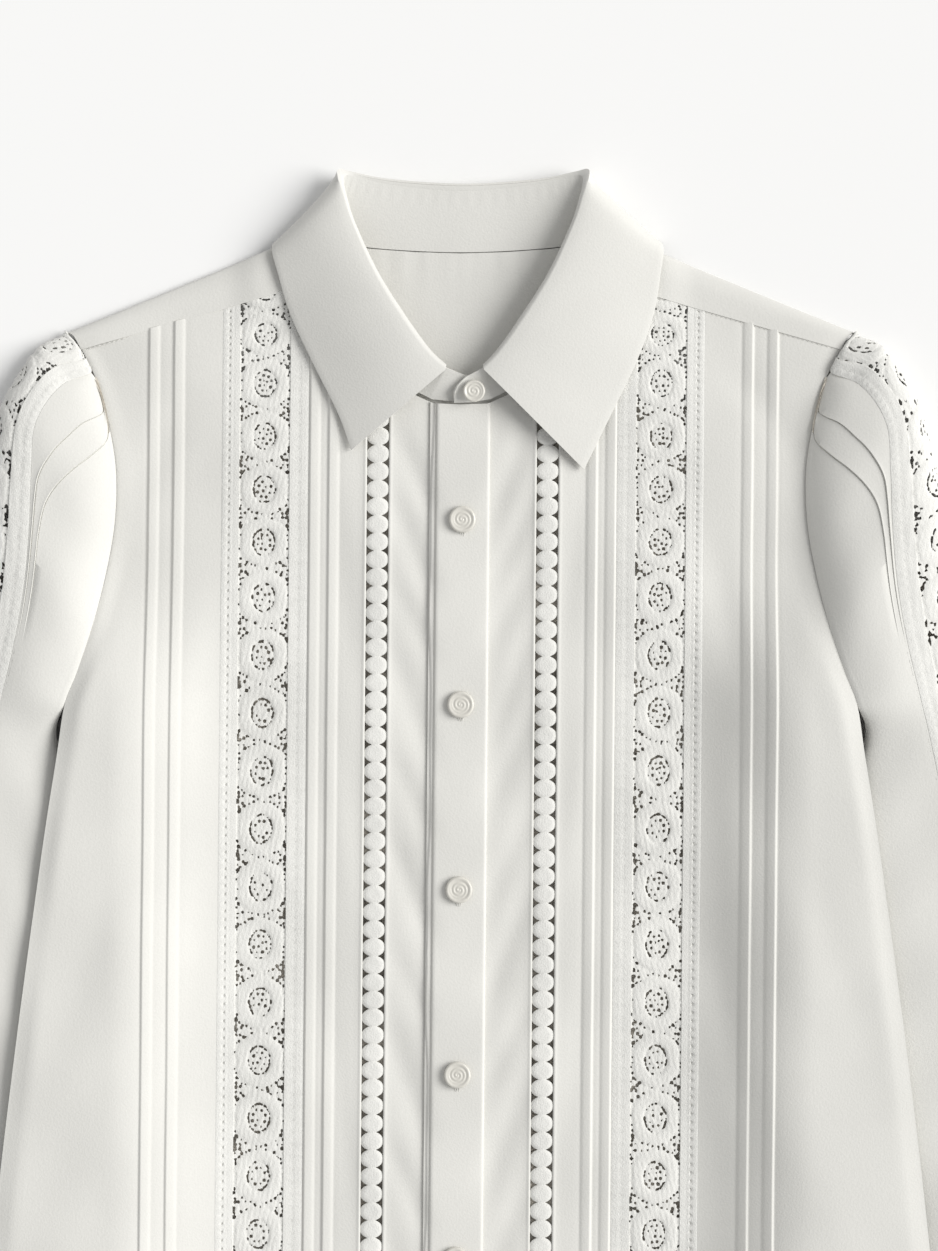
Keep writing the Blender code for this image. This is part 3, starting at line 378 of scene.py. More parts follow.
def add_grain(material, shader, colour, spread, scale, grain, depth):
    """Uneven colour in patches and grain, and a fine woven or twisted relief."""
    nodes = material.node_tree.nodes
    links = material.node_tree.links
    place = nodes.new("ShaderNodeTexCoord")
    patches = nodes.new("ShaderNodeTexNoise")
    patches.inputs["Scale"].default_value = scale
    patches.inputs["Detail"].default_value = 3.0
    fine = nodes.new("ShaderNodeTexNoise")
    fine.inputs["Scale"].default_value = grain
    fine.inputs["Detail"].default_value = 2.0
    both = nodes.new("ShaderNodeMath")
    both.operation = "ADD"
    tone = nodes.new("ShaderNodeMapRange")
    tone.inputs["From Min"].default_value = 0.7
    tone.inputs["From Max"].default_value = 1.3
    mix = nodes.new("ShaderNodeMix")
    mix.data_type = "RGBA"
    mix.inputs["A"].default_value = (*[c * (1 - spread) for c in colour], 1.0)
    mix.inputs["B"].default_value = (*[min(1.0, c * (1 + spread)) for c in colour], 1.0)
    bump = nodes.new("ShaderNodeBump")
    bump.inputs["Strength"].default_value = 0.5
    bump.inputs["Distance"].default_value = depth
    for texture in (patches, fine):
        links.new(place.outputs["Object"], texture.inputs["Vector"])
    links.new(patches.outputs["Fac"], both.inputs[0])
    links.new(fine.outputs["Fac"], both.inputs[1])
    links.new(both.outputs["Value"], tone.inputs["Value"])
    links.new(tone.outputs["Result"], mix.inputs["Factor"])
    links.new(mix.outputs["Result"], shader.inputs["Base Color"])
    links.new(fine.outputs["Fac"], bump.inputs["Height"])
    links.new(bump.outputs["Normal"], shader.inputs["Normal"])


def make_cotton():
    material, shader = principled("plain_cotton", COTTON, 0.85, Sheen_Weight=0.12, Sheen_Roughness=0.5)
    add_grain(material, shader, COTTON, 0.025, 28.0, 900.0, 0.00025)
    return material


def make_lace_white():
    material, shader = principled("corded_lace", LACE_WHITE, 0.9, Sheen_Weight=0.1, Sheen_Roughness=0.6)
    add_grain(material, shader, LACE_WHITE, 0.05, 120.0, 1300.0, 0.0006)
    return material


def make_painted_shade_inside():
    # A painted shade material, standing in for the shade on inner sides.
    material, shader = principled("painted_shade_inside", PAINTED_SHADE_INSIDE, 1.0)
    add_grain(material, shader, PAINTED_SHADE_INSIDE, 0.2, 60.0, 900.0, 0.0003)
    return material


def make_pearl():
    material, shader = principled("pearly_button", BUTTON_WHITE, 0.32, Coat_Weight=0.4, Coat_Roughness=0.2)
    add_grain(material, shader, BUTTON_WHITE, 0.06, 160.0, 700.0, 0.00005)
    return material


def make_thread():
    material, shader = principled("sewing_thread", THREAD, 0.7, Sheen_Weight=0.1)
    add_grain(material, shader, THREAD, 0.06, 300.0, 2500.0, 0.0001)
    return material


def make_floor_finish():
    return principled("floor_finish", FLOOR, 1.0, Specular_IOR_Level=0.0)[0]


# Mesh helpers
def add_mesh(name, points, faces, materials, nodes, under_faces=None):
    """One piece of the look, in place of the named CAD nodes."""
    mesh = bpy.data.meshes.new(name)
    placed = (np.asarray(points, float) - (0.0, ORIGIN_Y, 0.0)) * MM
    loops = []
    for group in faces:
        loops += group.tolist() if isinstance(group, np.ndarray) else group
    mesh.from_pydata(placed.tolist(), [], loops)
    for material in materials:
        mesh.materials.append(material)
    if under_faces is not None:
        marks = np.zeros(len(loops), np.int32)
        marks[:len(under_faces)] = under_faces
        mesh.polygons.foreach_set("material_index", marks)
    work = bmesh.new()
    work.from_mesh(mesh)
    bmesh.ops.delete(work, geom=[v for v in work.verts if not v.link_faces], context="VERTS")
    bmesh.ops.recalc_face_normals(work, faces=work.faces)
    work.to_mesh(mesh)
    work.free()
    mesh.shade_smooth()
    mesh.set_sharp_from_angle(angle=math.radians(55))
    item = bpy.data.objects.new(name, mesh)
    bpy.context.scene.collection.objects.link(item)
    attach(item, "root")
    if nodes:
        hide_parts(*nodes)
    return item


def shell_faces(rows, columns, kept=None, ring=False):
    """Upper faces, under faces and rim faces of a thin shell over a grid."""
    count = rows * columns
    index = np.arange(count).reshape(rows, columns)
    if ring:
        index = np.concatenate([index, index[:, :1]], axis=1)
    corners = (index[:-1, :-1], index[:-1, 1:], index[1:, 1:], index[1:, :-1])
    loops = np.stack(corners, -1).reshape(-1, 4)
    if kept is not None:
        loops = loops[np.asarray(kept).reshape(-1)]
    edges = np.concatenate([loops[:, [k, (k + 1) % 4]] for k in range(4)])
    forward = edges[:, 0] * count + edges[:, 1]
    backward = edges[:, 1] * count + edges[:, 0]
    rim = edges[~np.isin(backward, forward)]
    walls = np.stack([rim[:, 1], rim[:, 0], rim[:, 0] + count, rim[:, 1] + count], -1)
    return loops, loops[:, ::-1] + count, walls


def grid_normals(grid):
    along = np.gradient(grid, axis=0)
    across = np.gradient(grid, axis=1)
    normals = np.cross(along, across)
    return normals / np.maximum(np.linalg.norm(normals, axis=2, keepdims=True), 1e-9)


def add_shell(name, top, under, looks, nodes, kept=None, ring=False, inside=None):
    """A thin closed shell between two grids. looks holds its finish, and a second one, in this script the
    painted shade, for the under faces that inside marks with 1."""
    rows, columns = top.shape[:2]
    upper, lower, walls = shell_faces(rows, columns, kept, ring)
    marks = None
    if inside is not None:
        chosen = np.asarray(inside).reshape(-1)
        if kept is not None:
            chosen = chosen[np.asarray(kept).reshape(-1)]
        marks = np.concatenate([np.zeros(len(upper), np.int32), chosen.astype(np.int32)])
    points = np.concatenate([top.reshape(-1, 3), under.reshape(-1, 3)])
    item = add_mesh(name, points, (upper, lower, walls), looks, nodes, marks)
    return item


# Front panels
def spread_between(stops, step):
    """The stops, with even places between them about a step apart."""
    places = []
    for a, b in zip(stops, stops[1:]):
        parts = max(1, int(round((b - a) / step)))
        places += [a + (b - a) * k / parts for k in range(parts)]
    return places + [stops[-1]]


def tuck_stops(edge):
    start = edge - TUCK_WIDTH
    return [start - 1.0, start - 0.4, start, start + 0.5, start + 1.2, start + 1.8, edge - 1.2, edge - 0.8,
            edge - 0.4, edge, edge + 0.3, edge + 0.6, edge + 0.9, edge + 1.6]


def tuck_rise(c, edges):
    """Height of the tucks' folds, whose free edges face away from the placket."""
    total = np.zeros_like(c)
    for edge in edges:
        start = edge - TUCK_WIDTH
        up = ease(start - 0.3, start + 1.6, c) * (1 - ease(edge - 1.0, edge + 0.5, c))
        total += up * (0.4 + (TUCK_LOOK - 0.4) * ease(start, edge, c))
        total -= 0.12 * np.exp(-((c - start + 0.4) / 0.7) ** 2)
        total -= 0.12 * np.exp(-((c - edge - 0.9) / 0.7) ** 2)
    return total


def rolled_edge(c, at, toward):
    """A narrow rolled rim along an edge of a panel, which falls away at the edge itself."""
    depth = (c - at) * toward
    return 0.45 * np.exp(-((depth - 0.8) / 0.7) ** 2) - 0.2 * np.exp(-(depth / 0.3) ** 2)


def panel_grid(side, c):
    """Places of a strip of the front, from its upper seam to the hem."""
    c = np.asarray(c, float)[None, :]
    top = front_top_y(c)
    for _ in range(4):
        top = front_top_y(side * c + lean(top)) - SEAM
    share = np.linspace(0.0, 1.0, FRONT_ROWS)[:, None]
    y = top + (HEM_Y - top) * share
    return side * c + lean(y), y, np.broadcast_to(c, y.shape)


def add_panel(name, side, c, relief, look, node, above=0.0):
    x, y, places = panel_grid(side, c)
    plain = front_over(x, y) + creases(x, y) + above
    top = np.stack([x, y, plain + relief(places, y)], -1)
    under = np.stack([x, y, np.minimum(plain, top[..., 2]) - SHELL], -1)
    add_shell(name, top, under, look, [node])


def add_middle_front(word, side, cotton):
    start = TRIM_CENTRE + TRIM_HALF + SEAM
    end = INNER_TUCKS[1]
    stops = [start, start + 0.4, start + 0.9, start + 1.5, start + 2.6]
    stops += tuck_stops(INNER_TUCKS[0]) + tuck_stops(end)[:10] + [end + 0.25]

    def relief(c, y):
        return tuck_rise(c, INNER_TUCKS) + rolled_edge(c, start, 1)

    add_panel("cloth_front_middle_" + word, side, spread_between(stops, 3.0), relief, [cotton],
              "front_middle_" + word)


def add_inner_front(word, side, cotton):
    end = TRIM_CENTRE - TRIM_HALF - SEAM
    first = -UNDERLAP_REACH if side < 0 else PLACKET_HALF - 2.0
    stops = [first, first + 2.0, end - 2.6, end - 1.5, end - 0.9, end - 0.4, end]

    def relief(c, y):
        hollow = -0.45 * (1 - ease(PLACKET_HALF + 1.0, PLACKET_HALF + 13.0, c))
        return rolled_edge(c, end, -1) + hollow

    add_panel("cloth_front_inner_" + word, side, spread_between(stops, 2.6), relief, [cotton],
              "front_inner_" + word)


def add_placket(cotton):
    """The button band, with the edge of its lower fold just outside its left edge."""
    half = PLACKET_HALF
    stops = [-half - 3.2, -half - 2.7, -half - 2.2, -half - 1.7, -half - 1.2, -half - 0.7,
             -half - 0.3, -half, -half + 0.3, -half + 0.9, -half + 2.2]
    stops += [half - 2.6, half - 1.5, half - 0.8, half - 0.3, half + 0.1]

    def relief(c, y):
        reach = 2.0 + 0.7 * np.sin(y / 31.0 + 0.8) + 0.35 * np.sin(y / 11.0)
        lower = ease(-half - 0.35, -half + 0.15, c) - 1.0
        ends = 0.75 * ease(-half - reach - 0.4, -half - reach + 0.2, c) - 0.75
        rounded = -1.3 * ease(half - 1.3, half + 0.3, c) ** 2 - 0.3 * np.exp(-((c + half) / 0.4) ** 2)
        tilt = -0.5 * c / half
        return 0.6 * lower + ends + rounded + tilt * ease(-half - 0.2, -half + 0.6, c)

    add_panel("cloth_placket", 1, spread_between(stops, 2.6), relief, [cotton], "placket",
              above=PLACKET_RISE)


def add_side_front(word, side, cotton):
    """From the lace to the armhole and the side seam."""
    start = LACE_OUTER + SEAM
    inner = [start, start + 0.5, start + 1.2, start + 2.4]
    for edge in OUTER_TUCKS:
        inner += tuck_stops(edge)
    inner = spread_between(inner, 3.2)
    shares = np.array(spread_between([0.0, 0.9, 0.97, 1.0], 0.05))[1:]
    share_y = np.linspace(0.0, 1.0, SIDE_ROWS)[:, None]
    x = np.full((SIDE_ROWS, len(inner) + len(shares)), 150.0)
    for _ in range(8):
        top = yoke_seam_y(x[:1]) - SEAM
        y = top + (HEM_Y - top) * share_y
        edge = np.where(share_y > 0, side * (body_edge(y[:, -1:]) - SEAM), side * SHOULDER_END[0])
        begin = side * inner[-1] + lean(y)[:, len(inner):]
        x[:, :len(inner)] = side * np.array(inner) + lean(y)[:, :len(inner)]
        x[:, len(inner):] = begin + (edge - begin) * shares
    c = side * (x - lean(y))
    plain = front_over(x, y) + creases(x, y)
    relief = tuck_rise(c, OUTER_TUCKS)
    relief[:, len(inner) + 8:] = 0.0
    past_edge = body_edge(y) - np.abs(x)
    relief -= 0.3 * np.exp(-(past_edge / 0.8) ** 2) * ease(-300.0, -200.0, y)
    top = np.stack([x, y, plain + relief], -1)
    under = np.stack([x, y, np.minimum(plain, plain + relief) - SHELL], -1)
    add_shell("cloth_front_side_" + word, top, under, [cotton], ["front_side_" + word])


# Lace. Holes of one repeat, right upper quarter, which is repeated to the other three.
# Columns: u across and v along from the medallion's middle, half width, half length, turn
CORNER_HOLES = (
    (12.4, 1.3, 0.46, 0.60, 0),
    (12.4, 3.9, 0.48, 0.62, 0),
    (12.3, 6.6, 0.60, 0.72, 0),
    (12.0, 9.0, 0.88, 0.90, 20),
    (10.3, 10.2, 0.62, 0.80, 46),
    (8.6, 11.6, 0.86, 0.72, 52),
    (6.5, 12.8, 0.62, 0.70, 66),
    (4.2, 13.8, 0.80, 0.62, 0),
    (12.3, 11.5, 0.70, 0.76, 0),
    (12.1, 13.9, 1.00, 0.92, 0),
    (9.8, 13.6, 0.72, 0.82, 30),
    (1.5, 14.4, 0.66, 0.50, 0),
)
NET_RING_HOLES = 20
NET_RING_REACH = (5.6, 7.4)
NET_INNER_HOLES = 8
NET_INNER_REACH = (3.3, 4.5)

# Rows of pricked dots in the two borders. Columns: distance from the column, pitch, size, depth
BORDER_DOTS_OUTER = ((5.6, 4.4, 0.70, 1.2), (3.4, 2.2, 0.5, 0.4))
BORDER_DOTS_INNER = ((4.4, 3.3, 0.66, 0.8), (8.3, 3.3, 0.55, 0.6), (6.4, 2.2, 0.5, 0.4))


def lace_holes():
    """Every hole of one repeat: u, v, half width, half length, turn in degrees."""
    holes = []
    for u, v, wide, long, turn in CORNER_HOLES:
        holes += [(u, v, wide, long, turn), (-u, v, wide, long, -turn)]
        holes += [(u, -v, wide, long, -turn), (-u, -v, wide, long, turn)]
    for k in range(NET_RING_HOLES):
        angle = math.tau * k / NET_RING_HOLES
        u = NET_RING_REACH[0] * math.cos(angle)
        v = NET_RING_REACH[1] * math.sin(angle)
        holes.append((u, v, 0.56, 0.98, math.degrees(angle)))
    for k in range(NET_INNER_HOLES):
        angle = math.tau * (k + 0.4) / NET_INNER_HOLES
        u = NET_INNER_REACH[0] * math.cos(angle)
        v = NET_INNER_REACH[1] * math.sin(angle)
        holes.append((u, v, 0.78, 0.84, math.degrees(angle)))
    holes += [(0.7, 1.2, 0.72, 0.76, 0), (-0.9, -1.1, 0.74, 0.7, 0), (0.9, -1.7, 0.54, 0.62, 0)]
    return holes


def wobble(cell, number, seed):
    """An uneven value between -1 and 1 for one hole of one repeat."""
    value = np.sin(cell * 12.9898 + number * 78.233 + seed * 37.719) * 43758.5453
    return 2.0 * (value - np.floor(value)) - 1.0


def thread_depth(u, along, seed):
    """Distance from the nearest hole, below 0 inside it. along counts repeats."""
    cell = np.floor(along)
    v = (along - cell - 0.5) * MEDALLION_PITCH
    depth = np.full(np.broadcast(u, v).shape, 9.0)
    for number, (hole_u, hole_v, wide, long, turn) in enumerate(lace_holes()):
        loose = 0.5 if number < 4 * len(CORNER_HOLES) else 0.28
        near_u = u - hole_u - loose * wobble(cell, number, seed)
        near_v = v - hole_v - loose * wobble(cell, number, seed + 1)
        size = 1.0 + 0.3 * wobble(cell, number, seed + 2)
        angle = math.radians(turn)
        turned_u = near_u * math.cos(angle) + near_v * math.sin(angle)
        turned_v = near_v * math.cos(angle) - near_u * math.sin(angle)
        reach = np.sqrt((turned_u / wide) ** 2 + (turned_v / long) ** 2)
        depth = np.minimum(depth, (reach - size) * min(wide, long))
    return depth


def lace_relief(u, along, depth):
    """Height of the threads: ringed medallions with fine ribs, and small knots between."""
    v = (along - np.floor(along) - 0.5) * MEDALLION_PITCH
    radius = np.hypot(u, v / 1.1)
    angle = np.arctan2(v, u)
    ring = np.exp(-((radius - 9.3) / 3.0) ** 6)
    loops = 0.15 * np.cos(angle * 17.0 + 0.9 * np.sin(radius * 2.3)) * np.cos((radius - 9.3) * 2.1)
    twist = 0.13 * np.cos(u * 4.1 + v * 2.3) * np.cos(u * 1.7 - v * 3.7)
    knots = 0.2 * np.cos(u * 3.3 + v * 1.4) * np.cos(v * 2.9)
    rounded = np.sqrt(np.clip(depth / 0.7, 0.0, 1.0))
    return rounded * (0.4 + ring * (0.26 + loops + twist) + (1 - ring) * knots)


def add_openwork(name, place, u, along, seed, looks, node):
    """A lace column. place turns (u, along) grids into surface points."""
    grid_u, grid_v = np.meshgrid(u, along)
    step_u = u[1] - u[0]
    step_v = (along[1] - along[0]) * MEDALLION_PITCH
    depth = thread_depth(grid_u, grid_v, seed)
    centre = (depth[:-1, :-1] + depth[1:, :-1] + depth[:-1, 1:] + depth[1:, 1:]) / 4
    kept = centre > 0.0
    slope_v, slope_u = np.gradient(depth, step_v, step_u)
    steep = np.maximum(slope_u ** 2 + slope_v ** 2, 0.2)
    touched = np.zeros(depth.shape, bool)
    for rows in (slice(None, -1), slice(1, None)):
        for columns in (slice(None, -1), slice(1, None)):
            touched[rows, columns] |= ~kept
    touched[0] = touched[-1] = False
    touched[:, 0] = touched[:, -1] = False
    shift_u = np.where(touched, np.clip(-depth * slope_u / steep, -0.45 * step_u, 0.45 * step_u), 0.0)
    shift_v = np.where(touched, np.clip(-depth * slope_v / steep, -0.45 * step_v, 0.45 * step_v), 0.0)
    moved_u = grid_u + shift_u
    moved_v = grid_v + shift_v / MEDALLION_PITCH
    depth = np.where(touched, 0.12, depth)
    surface, normals = place(moved_u, moved_v)
    top = surface + normals * lace_relief(moved_u, moved_v, depth)[..., None]
    under = surface - normals * 0.35
    top[..., 2] = np.maximum(top[..., 2], 0.05)
    under[..., 2] = np.maximum(under[..., 2], 0.0)
    add_shell(name, top, under, looks, [node], kept=kept)


def border_relief(u, along, outer):
    """Rows of crochet knots along the lace's two borders."""
    v = along * MEDALLION_PITCH
    past = u - COLUMN_HALF
    knitted = ease(2.2, 3.2, past)
    rows = 0.16 * np.cos(past * math.tau / 2.1)
    knots = 0.17 * np.cos(v * math.tau / 2.2 + np.round(past / 2.1) * math.pi)
    relief = 0.66 + knitted * (rows + knots) + (1 - knitted) * 0.1 * np.cos(v * math.tau / 1.6 + past * 2.0)
    pricked = BORDER_DOTS_OUTER if outer else BORDER_DOTS_INNER
    for row, pitch, wide, deep in pricked:
        v_near = (v / pitch - np.round(v / pitch)) * pitch
        relief = relief - deep * np.exp(-((past - row) / wide) ** 2 - (v_near / (wide * 1.15)) ** 2)
    return relief


def add_border(name, place, u, along, outer, looks):
    grid_u, grid_v = np.meshgrid(u, along)
    surface, normals = place(grid_u, grid_v)
    relief = border_relief(np.abs(grid_u), grid_v, outer)
    far = np.abs(grid_u).max()
    relief = 0.3 + (relief - 0.3) * (1 - ease(far - 1.5, far, np.abs(grid_u)))
    top = surface + normals * relief[..., None]
    under = surface - normals * 0.6
    top[..., 2] = np.maximum(top[..., 2], 0.05)
    under[..., 2] = np.maximum(under[..., 2], 0.0)
    add_shell(name, top, under, looks, [])


def add_front_lace(word, side, lace):
    inner_edge = LACE_INNER + SEAM
    outer_edge = LACE_OUTER - SEAM

    cells = range(-1, LACE_CELLS)
    lines = [lace_line(k) for k in cells]

    def place(u, along):
        c = LACE_MIDDLE + u
        y = np.interp(along, cells, lines)
        y = np.maximum(y, HEM_Y)
        x = side * c + lean(y)
        limit = yoke_seam_y(x) - SEAM
        y = np.minimum(y, limit)
        surface = np.stack([x, y, front_over(x, y) + creases(x, y) - 0.3], -1)
        normals = np.zeros_like(surface)
        normals[..., 2] = 1.0
        return surface, normals

    first = float(np.interp(-yoke_seam_y(LACE_INNER - 1.0), [-y for y in lines], cells))
    last = float(np.interp(-HEM_Y, [-y for y in lines], cells))
    fine = np.arange(first, last, LACE_STEP / MEDALLION_PITCH)
    column = np.linspace(-COLUMN_HALF, COLUMN_HALF, LACE_COLUMNS)
    add_openwork("lace_front_" + word, place, column, fine, 3 + side, [lace], "front_lace_" + word)
    coarse = np.arange(first, last, BORDER_STEP / MEDALLION_PITCH)
    inner = np.linspace(inner_edge - LACE_MIDDLE, -COLUMN_HALF, BORDER_COLUMNS)
    outer = np.linspace(COLUMN_HALF, outer_edge - LACE_MIDDLE, BORDER_COLUMNS)
    for part, u in (("inner", inner), ("outer", outer)):
        add_border("lace_border_%s_%s" % (part, word), place, u, coarse, part == "outer", [lace])


def add_disc_trim(word, side, lace):
    """A chain of small embroidered discs with open gaps at both sides."""
    top_y = float(front_top_y(TRIM_CENTRE - TRIM_HALF)) - SEAM
    half = TRIM_HALF - SEAM
    count = int((top_y - HEM_Y) / DISC_PITCH)
    along = np.arange(count * DISC_STEPS + 1) / DISC_STEPS
    y = top_y - along * DISC_PITCH
    near = (along - np.floor(along) - 0.5) * DISC_PITCH
    reach = 6.0 * np.sqrt(np.clip(1.0 - (near / 4.85) ** 2, 0.0, 1.0))
    reach = np.clip(reach, 2.0, half)
    across = np.array(DISC_COLUMNS)
    x = side * TRIM_CENTRE + lean(y)[:, None] + reach[:, None] * across
    y = np.broadcast_to(y[:, None], x.shape)
    offset = reach[:, None] * across
    radius = np.hypot(offset, near[:, None] * 1.2) / half
    dome = np.sqrt(np.clip(1.05 - radius ** 2, 0.0, 1.0))
    rim = 0.22 * np.exp(-((radius - 0.74) / 0.12) ** 2)
    stitched = 0.13 * np.cos(offset * 3.1 + near[:, None] * 1.7) * np.cos(near[:, None] * 3.3 - offset * 0.8)
    base = front_over(x, y) + creases(x, y)
    z = base - 0.45 + 0.85 * dome + rim + stitched * dome
    top = np.stack([x, y, z], -1)
    under = np.stack([x, y, np.minimum(base - DISC_THICK + 0.35, z - 0.25)], -1)
    add_shell("lace_disc_trim_" + word, top, under, [lace], ["disc_trim_" + word])


def add_back(cotton, inside):
    """The back panel, its inner side painted darker in strips behind the openwork of the front, as painted
    shade.
    """
    rows = np.linspace(BACK_SEAM_Y - SEAM, HEM_Y, BACK_ROWS)[:, None]
    share = np.array(spread_between([-1.0, 1.0], 0.022))[None, :]
    x = share * (body_edge(rows) - SEAM)
    y = np.broadcast_to(rows, x.shape)
    z = back_under(x, y)
    under = np.stack([x, y, z], -1)
    top = np.stack([x, y, z + SHELL], -1)
    c = np.abs(x - lean(y))
    c = (c[:-1, :-1] + c[1:, 1:]) / 2
    # Strips under the disc trims and the lace columns, whose inner faces get the painted shade.
    shaded = ((c > 36) & (c < 53)) | ((c > 78) & (c < 129))
    add_shell("cloth_back", under, top, [cotton, inside], ["back"], inside=shaded)


def add_yoke(cotton):
    """Over both shoulders and behind the neck, in one piece."""
    stops = [0.0, 24.0, 48.0, 64.0, 73.0, 76.5, 88.0, 101.0, 122.0, 146.0, 170.0, 190.0]
    halves = spread_between(stops, 4.0) + [1.0]
    columns = [(-1, h) for h in reversed(halves[1:])] + [(1, h) for h in halves]
    lines = []
    for side, half in columns:
        at_edge = half == 1.0
        beyond = half > 170.0
        part = 1.0 if at_edge else max(0.0, (half - 170.0) / 28.0)
        reach = [SHOULDER_END[0] - SEAM, 202.0, 205.5, 200.5, 192.0, float(body_edge(BACK_SEAM_Y)) - SEAM]
        if at_edge or beyond:
            reach = [170.0 + (r - 170.0) * part for r in reach]
        else:
            reach = [max(half, 70.4)] + [half] * 5
        ys = [float(yoke_seam_y(reach[0])) - YOKE_OVERLAP,
              float(yoke_seam_y(reach[1]) + shoulder_y(reach[1])) / 2 + 2.0,
              float(shoulder_y(reach[2])),
              float(shoulder_y(reach[3])) - 5.0]
        if half < 73.0 and not at_edge:
            ys[3] = float(np.interp(half, [r[0] for r in BACK_NECK], [r[1] for r in BACK_NECK])) - SEAM
        ys.append((ys[3] + BACK_SEAM_Y) / 2)
        ys.append(BACK_SEAM_Y + SEAM)
        zs = [float(front_over(reach[0], ys[0])) + 0.7, float(front_over(reach[1], ys[1])) + 0.4,
              float(back_under(reach[2], ys[2])) + 2.8]
        zs += [float(back_under(reach[k], ys[k])) for k in (3, 4, 5)]
        line = np.stack([np.array(reach) * side, ys, zs], -1)
        if half < 76.0 and not at_edge:
            line[:3] = line[3]
        lines.append(line)
    coarse = np.array(lines).transpose(1, 0, 2)
    places = np.array(spread_between([0.0, 1.0, 2.0, 3.0, 4.0, 5.0], 0.17))
    outer = np.stack([spline(coarse[:, j], places) for j in range(coarse.shape[1])], 1)
    outer[..., 2] = np.maximum(outer[..., 2], 0.0)
    beside = np.abs(outer[:, :, 0])
    half_of = np.array([h if h != 1.0 else 200.0 for _, h in columns])
    column_half = np.minimum(half_of[:-1], half_of[1:])
    kept = np.ones((len(places) - 1, len(columns) - 1), bool)
    kept[:np.searchsorted(places, 3.0)] = column_half >= 76.0
    normals = grid_normals(outer)
    normals[..., :][beside < 78.0] = (0.0, 0.0, 1.0)
    inner = outer + normals * SHELL
    below_seam = np.clip(4.0 - inner[..., 1], 0.0, None)
    gathers = np.sin(inner[..., 0] * math.tau / 11.0 + 1.3 * np.sin(inner[..., 0] * 0.11))
    soft = np.exp(-((below_seam - 9.0) / 11.0) ** 2) * (1 - ease(50.0, 74.0, beside))
    inner[..., 2] += 0.3 * gathers * soft
    add_shell("cloth_yoke", outer, inner, [cotton], ["yoke"], kept=kept)


# Collar
def collar_curve(count):
    """Fold, outer edge and neck seam at even steps round the collar."""
    rows = []
    for side, row in [(-1, r) for r in reversed(COLLAR[1:])] + [(1, r) for r in COLLAR]:
        place, fold_x, fold_y, fold_z, edge_x, edge_y, edge_z, neck_x, neck_y = row
        beside = RIGHT_FOLD_SHIFT * (1 + side * ease(0.0, 0.3, place)) / 2
        fold_x = side * fold_x + beside + (FRONT_FOLD_SHIFT - beside) * ease(0.85, 1.0, place)
        edge_x = side * edge_x + COLLAR_SHIFT
        if side < 0:
            edge_x += np.interp(place, *zip(*LEFT_LEAF_INWARD))
            edge_y += np.interp(place, *zip(*LEFT_LEAF_UPWARD))
        if edge_z < 0:
            edge_z = float(front_over(edge_x, edge_y)) + TUCK_RISE + CLOTH + 0.8
        rows.append((fold_x, fold_y, fold_z, edge_x, edge_y, edge_z, side * neck_x, neck_y, side * place))
    curve = spline(rows, np.linspace(0, len(rows) - 1, count))
    return curve[:, 0:3], curve[:, 3:6], curve[:, 6:8], np.abs(curve[:, 8])


def collar_roll(fold, place):
    """The rounded fold of the collar, from over the stand's top to where the leaf starts."""
    front = ease(0.40, 0.52, place)
    toward = np.stack([-fold[:, 0], -15.0 - fold[:, 1]], -1)
    toward /= np.linalg.norm(toward, axis=1, keepdims=True)
    reach = 5.0 - 2.2 * front
    end_drop = 0.9 + 1.1 * front
    roll = []
    for inward in (1.0, 0.93, 0.85, 0.75, 0.62, 0.48, 0.32, 0.16):
        line = fold.copy()
        line[:, :2] += toward * (reach * inward)[:, None]
        line[:, 2] -= end_drop * inward ** 2.2
        roll.append(line)
    return np.stack(roll, axis=1)


def add_collar_leaf(cotton):
    fold, edge, _, place = collar_curve(221)
    edge[:, 2] = np.maximum(edge[:, 2], 0.0)
    behind = (1.0 - ease(0.34, 0.50, place))[:, None]
    share = np.array(spread_between([0.0, 0.05, 0.16, 0.94, 0.985, 1.0], 0.055))[None, :]
    drop = np.interp(share, (0.0, 0.05, 0.16), (0.0, 0.75, 1.0))
    dome = 2.3 * np.sin(share ** 0.75 * math.pi)
    dome = dome - 0.25 * ease(0.985, 1.0, share)
    points = fold[:, None] + (edge - fold)[:, None] * share[..., None]
    on_top = points[..., 2] + dome
    below = fold[:, 2:] * (1.0 - drop) + edge[:, 2:] * drop
    points[..., 2] = below * behind + on_top * (1.0 - behind)
    puff = 0.12 * np.sin(place[:, None] * 23.0 + share * 5.0) * np.sin(share * math.pi)
    points[..., 2] += puff * (1.0 - behind)
    points = np.concatenate([collar_roll(fold, place), points], axis=1)
    normals = grid_normals(points)
    flip = np.sign(normals[10, 17, 2])
    under = points - normals * flip * 1.1
    under[..., 2] = np.maximum(under[..., 2], 0.0)
    points[..., 2] = np.maximum(points[..., 2], 0.02)
    add_shell("cloth_collar_leaf", points, under, [cotton], ["collar_leaf"])


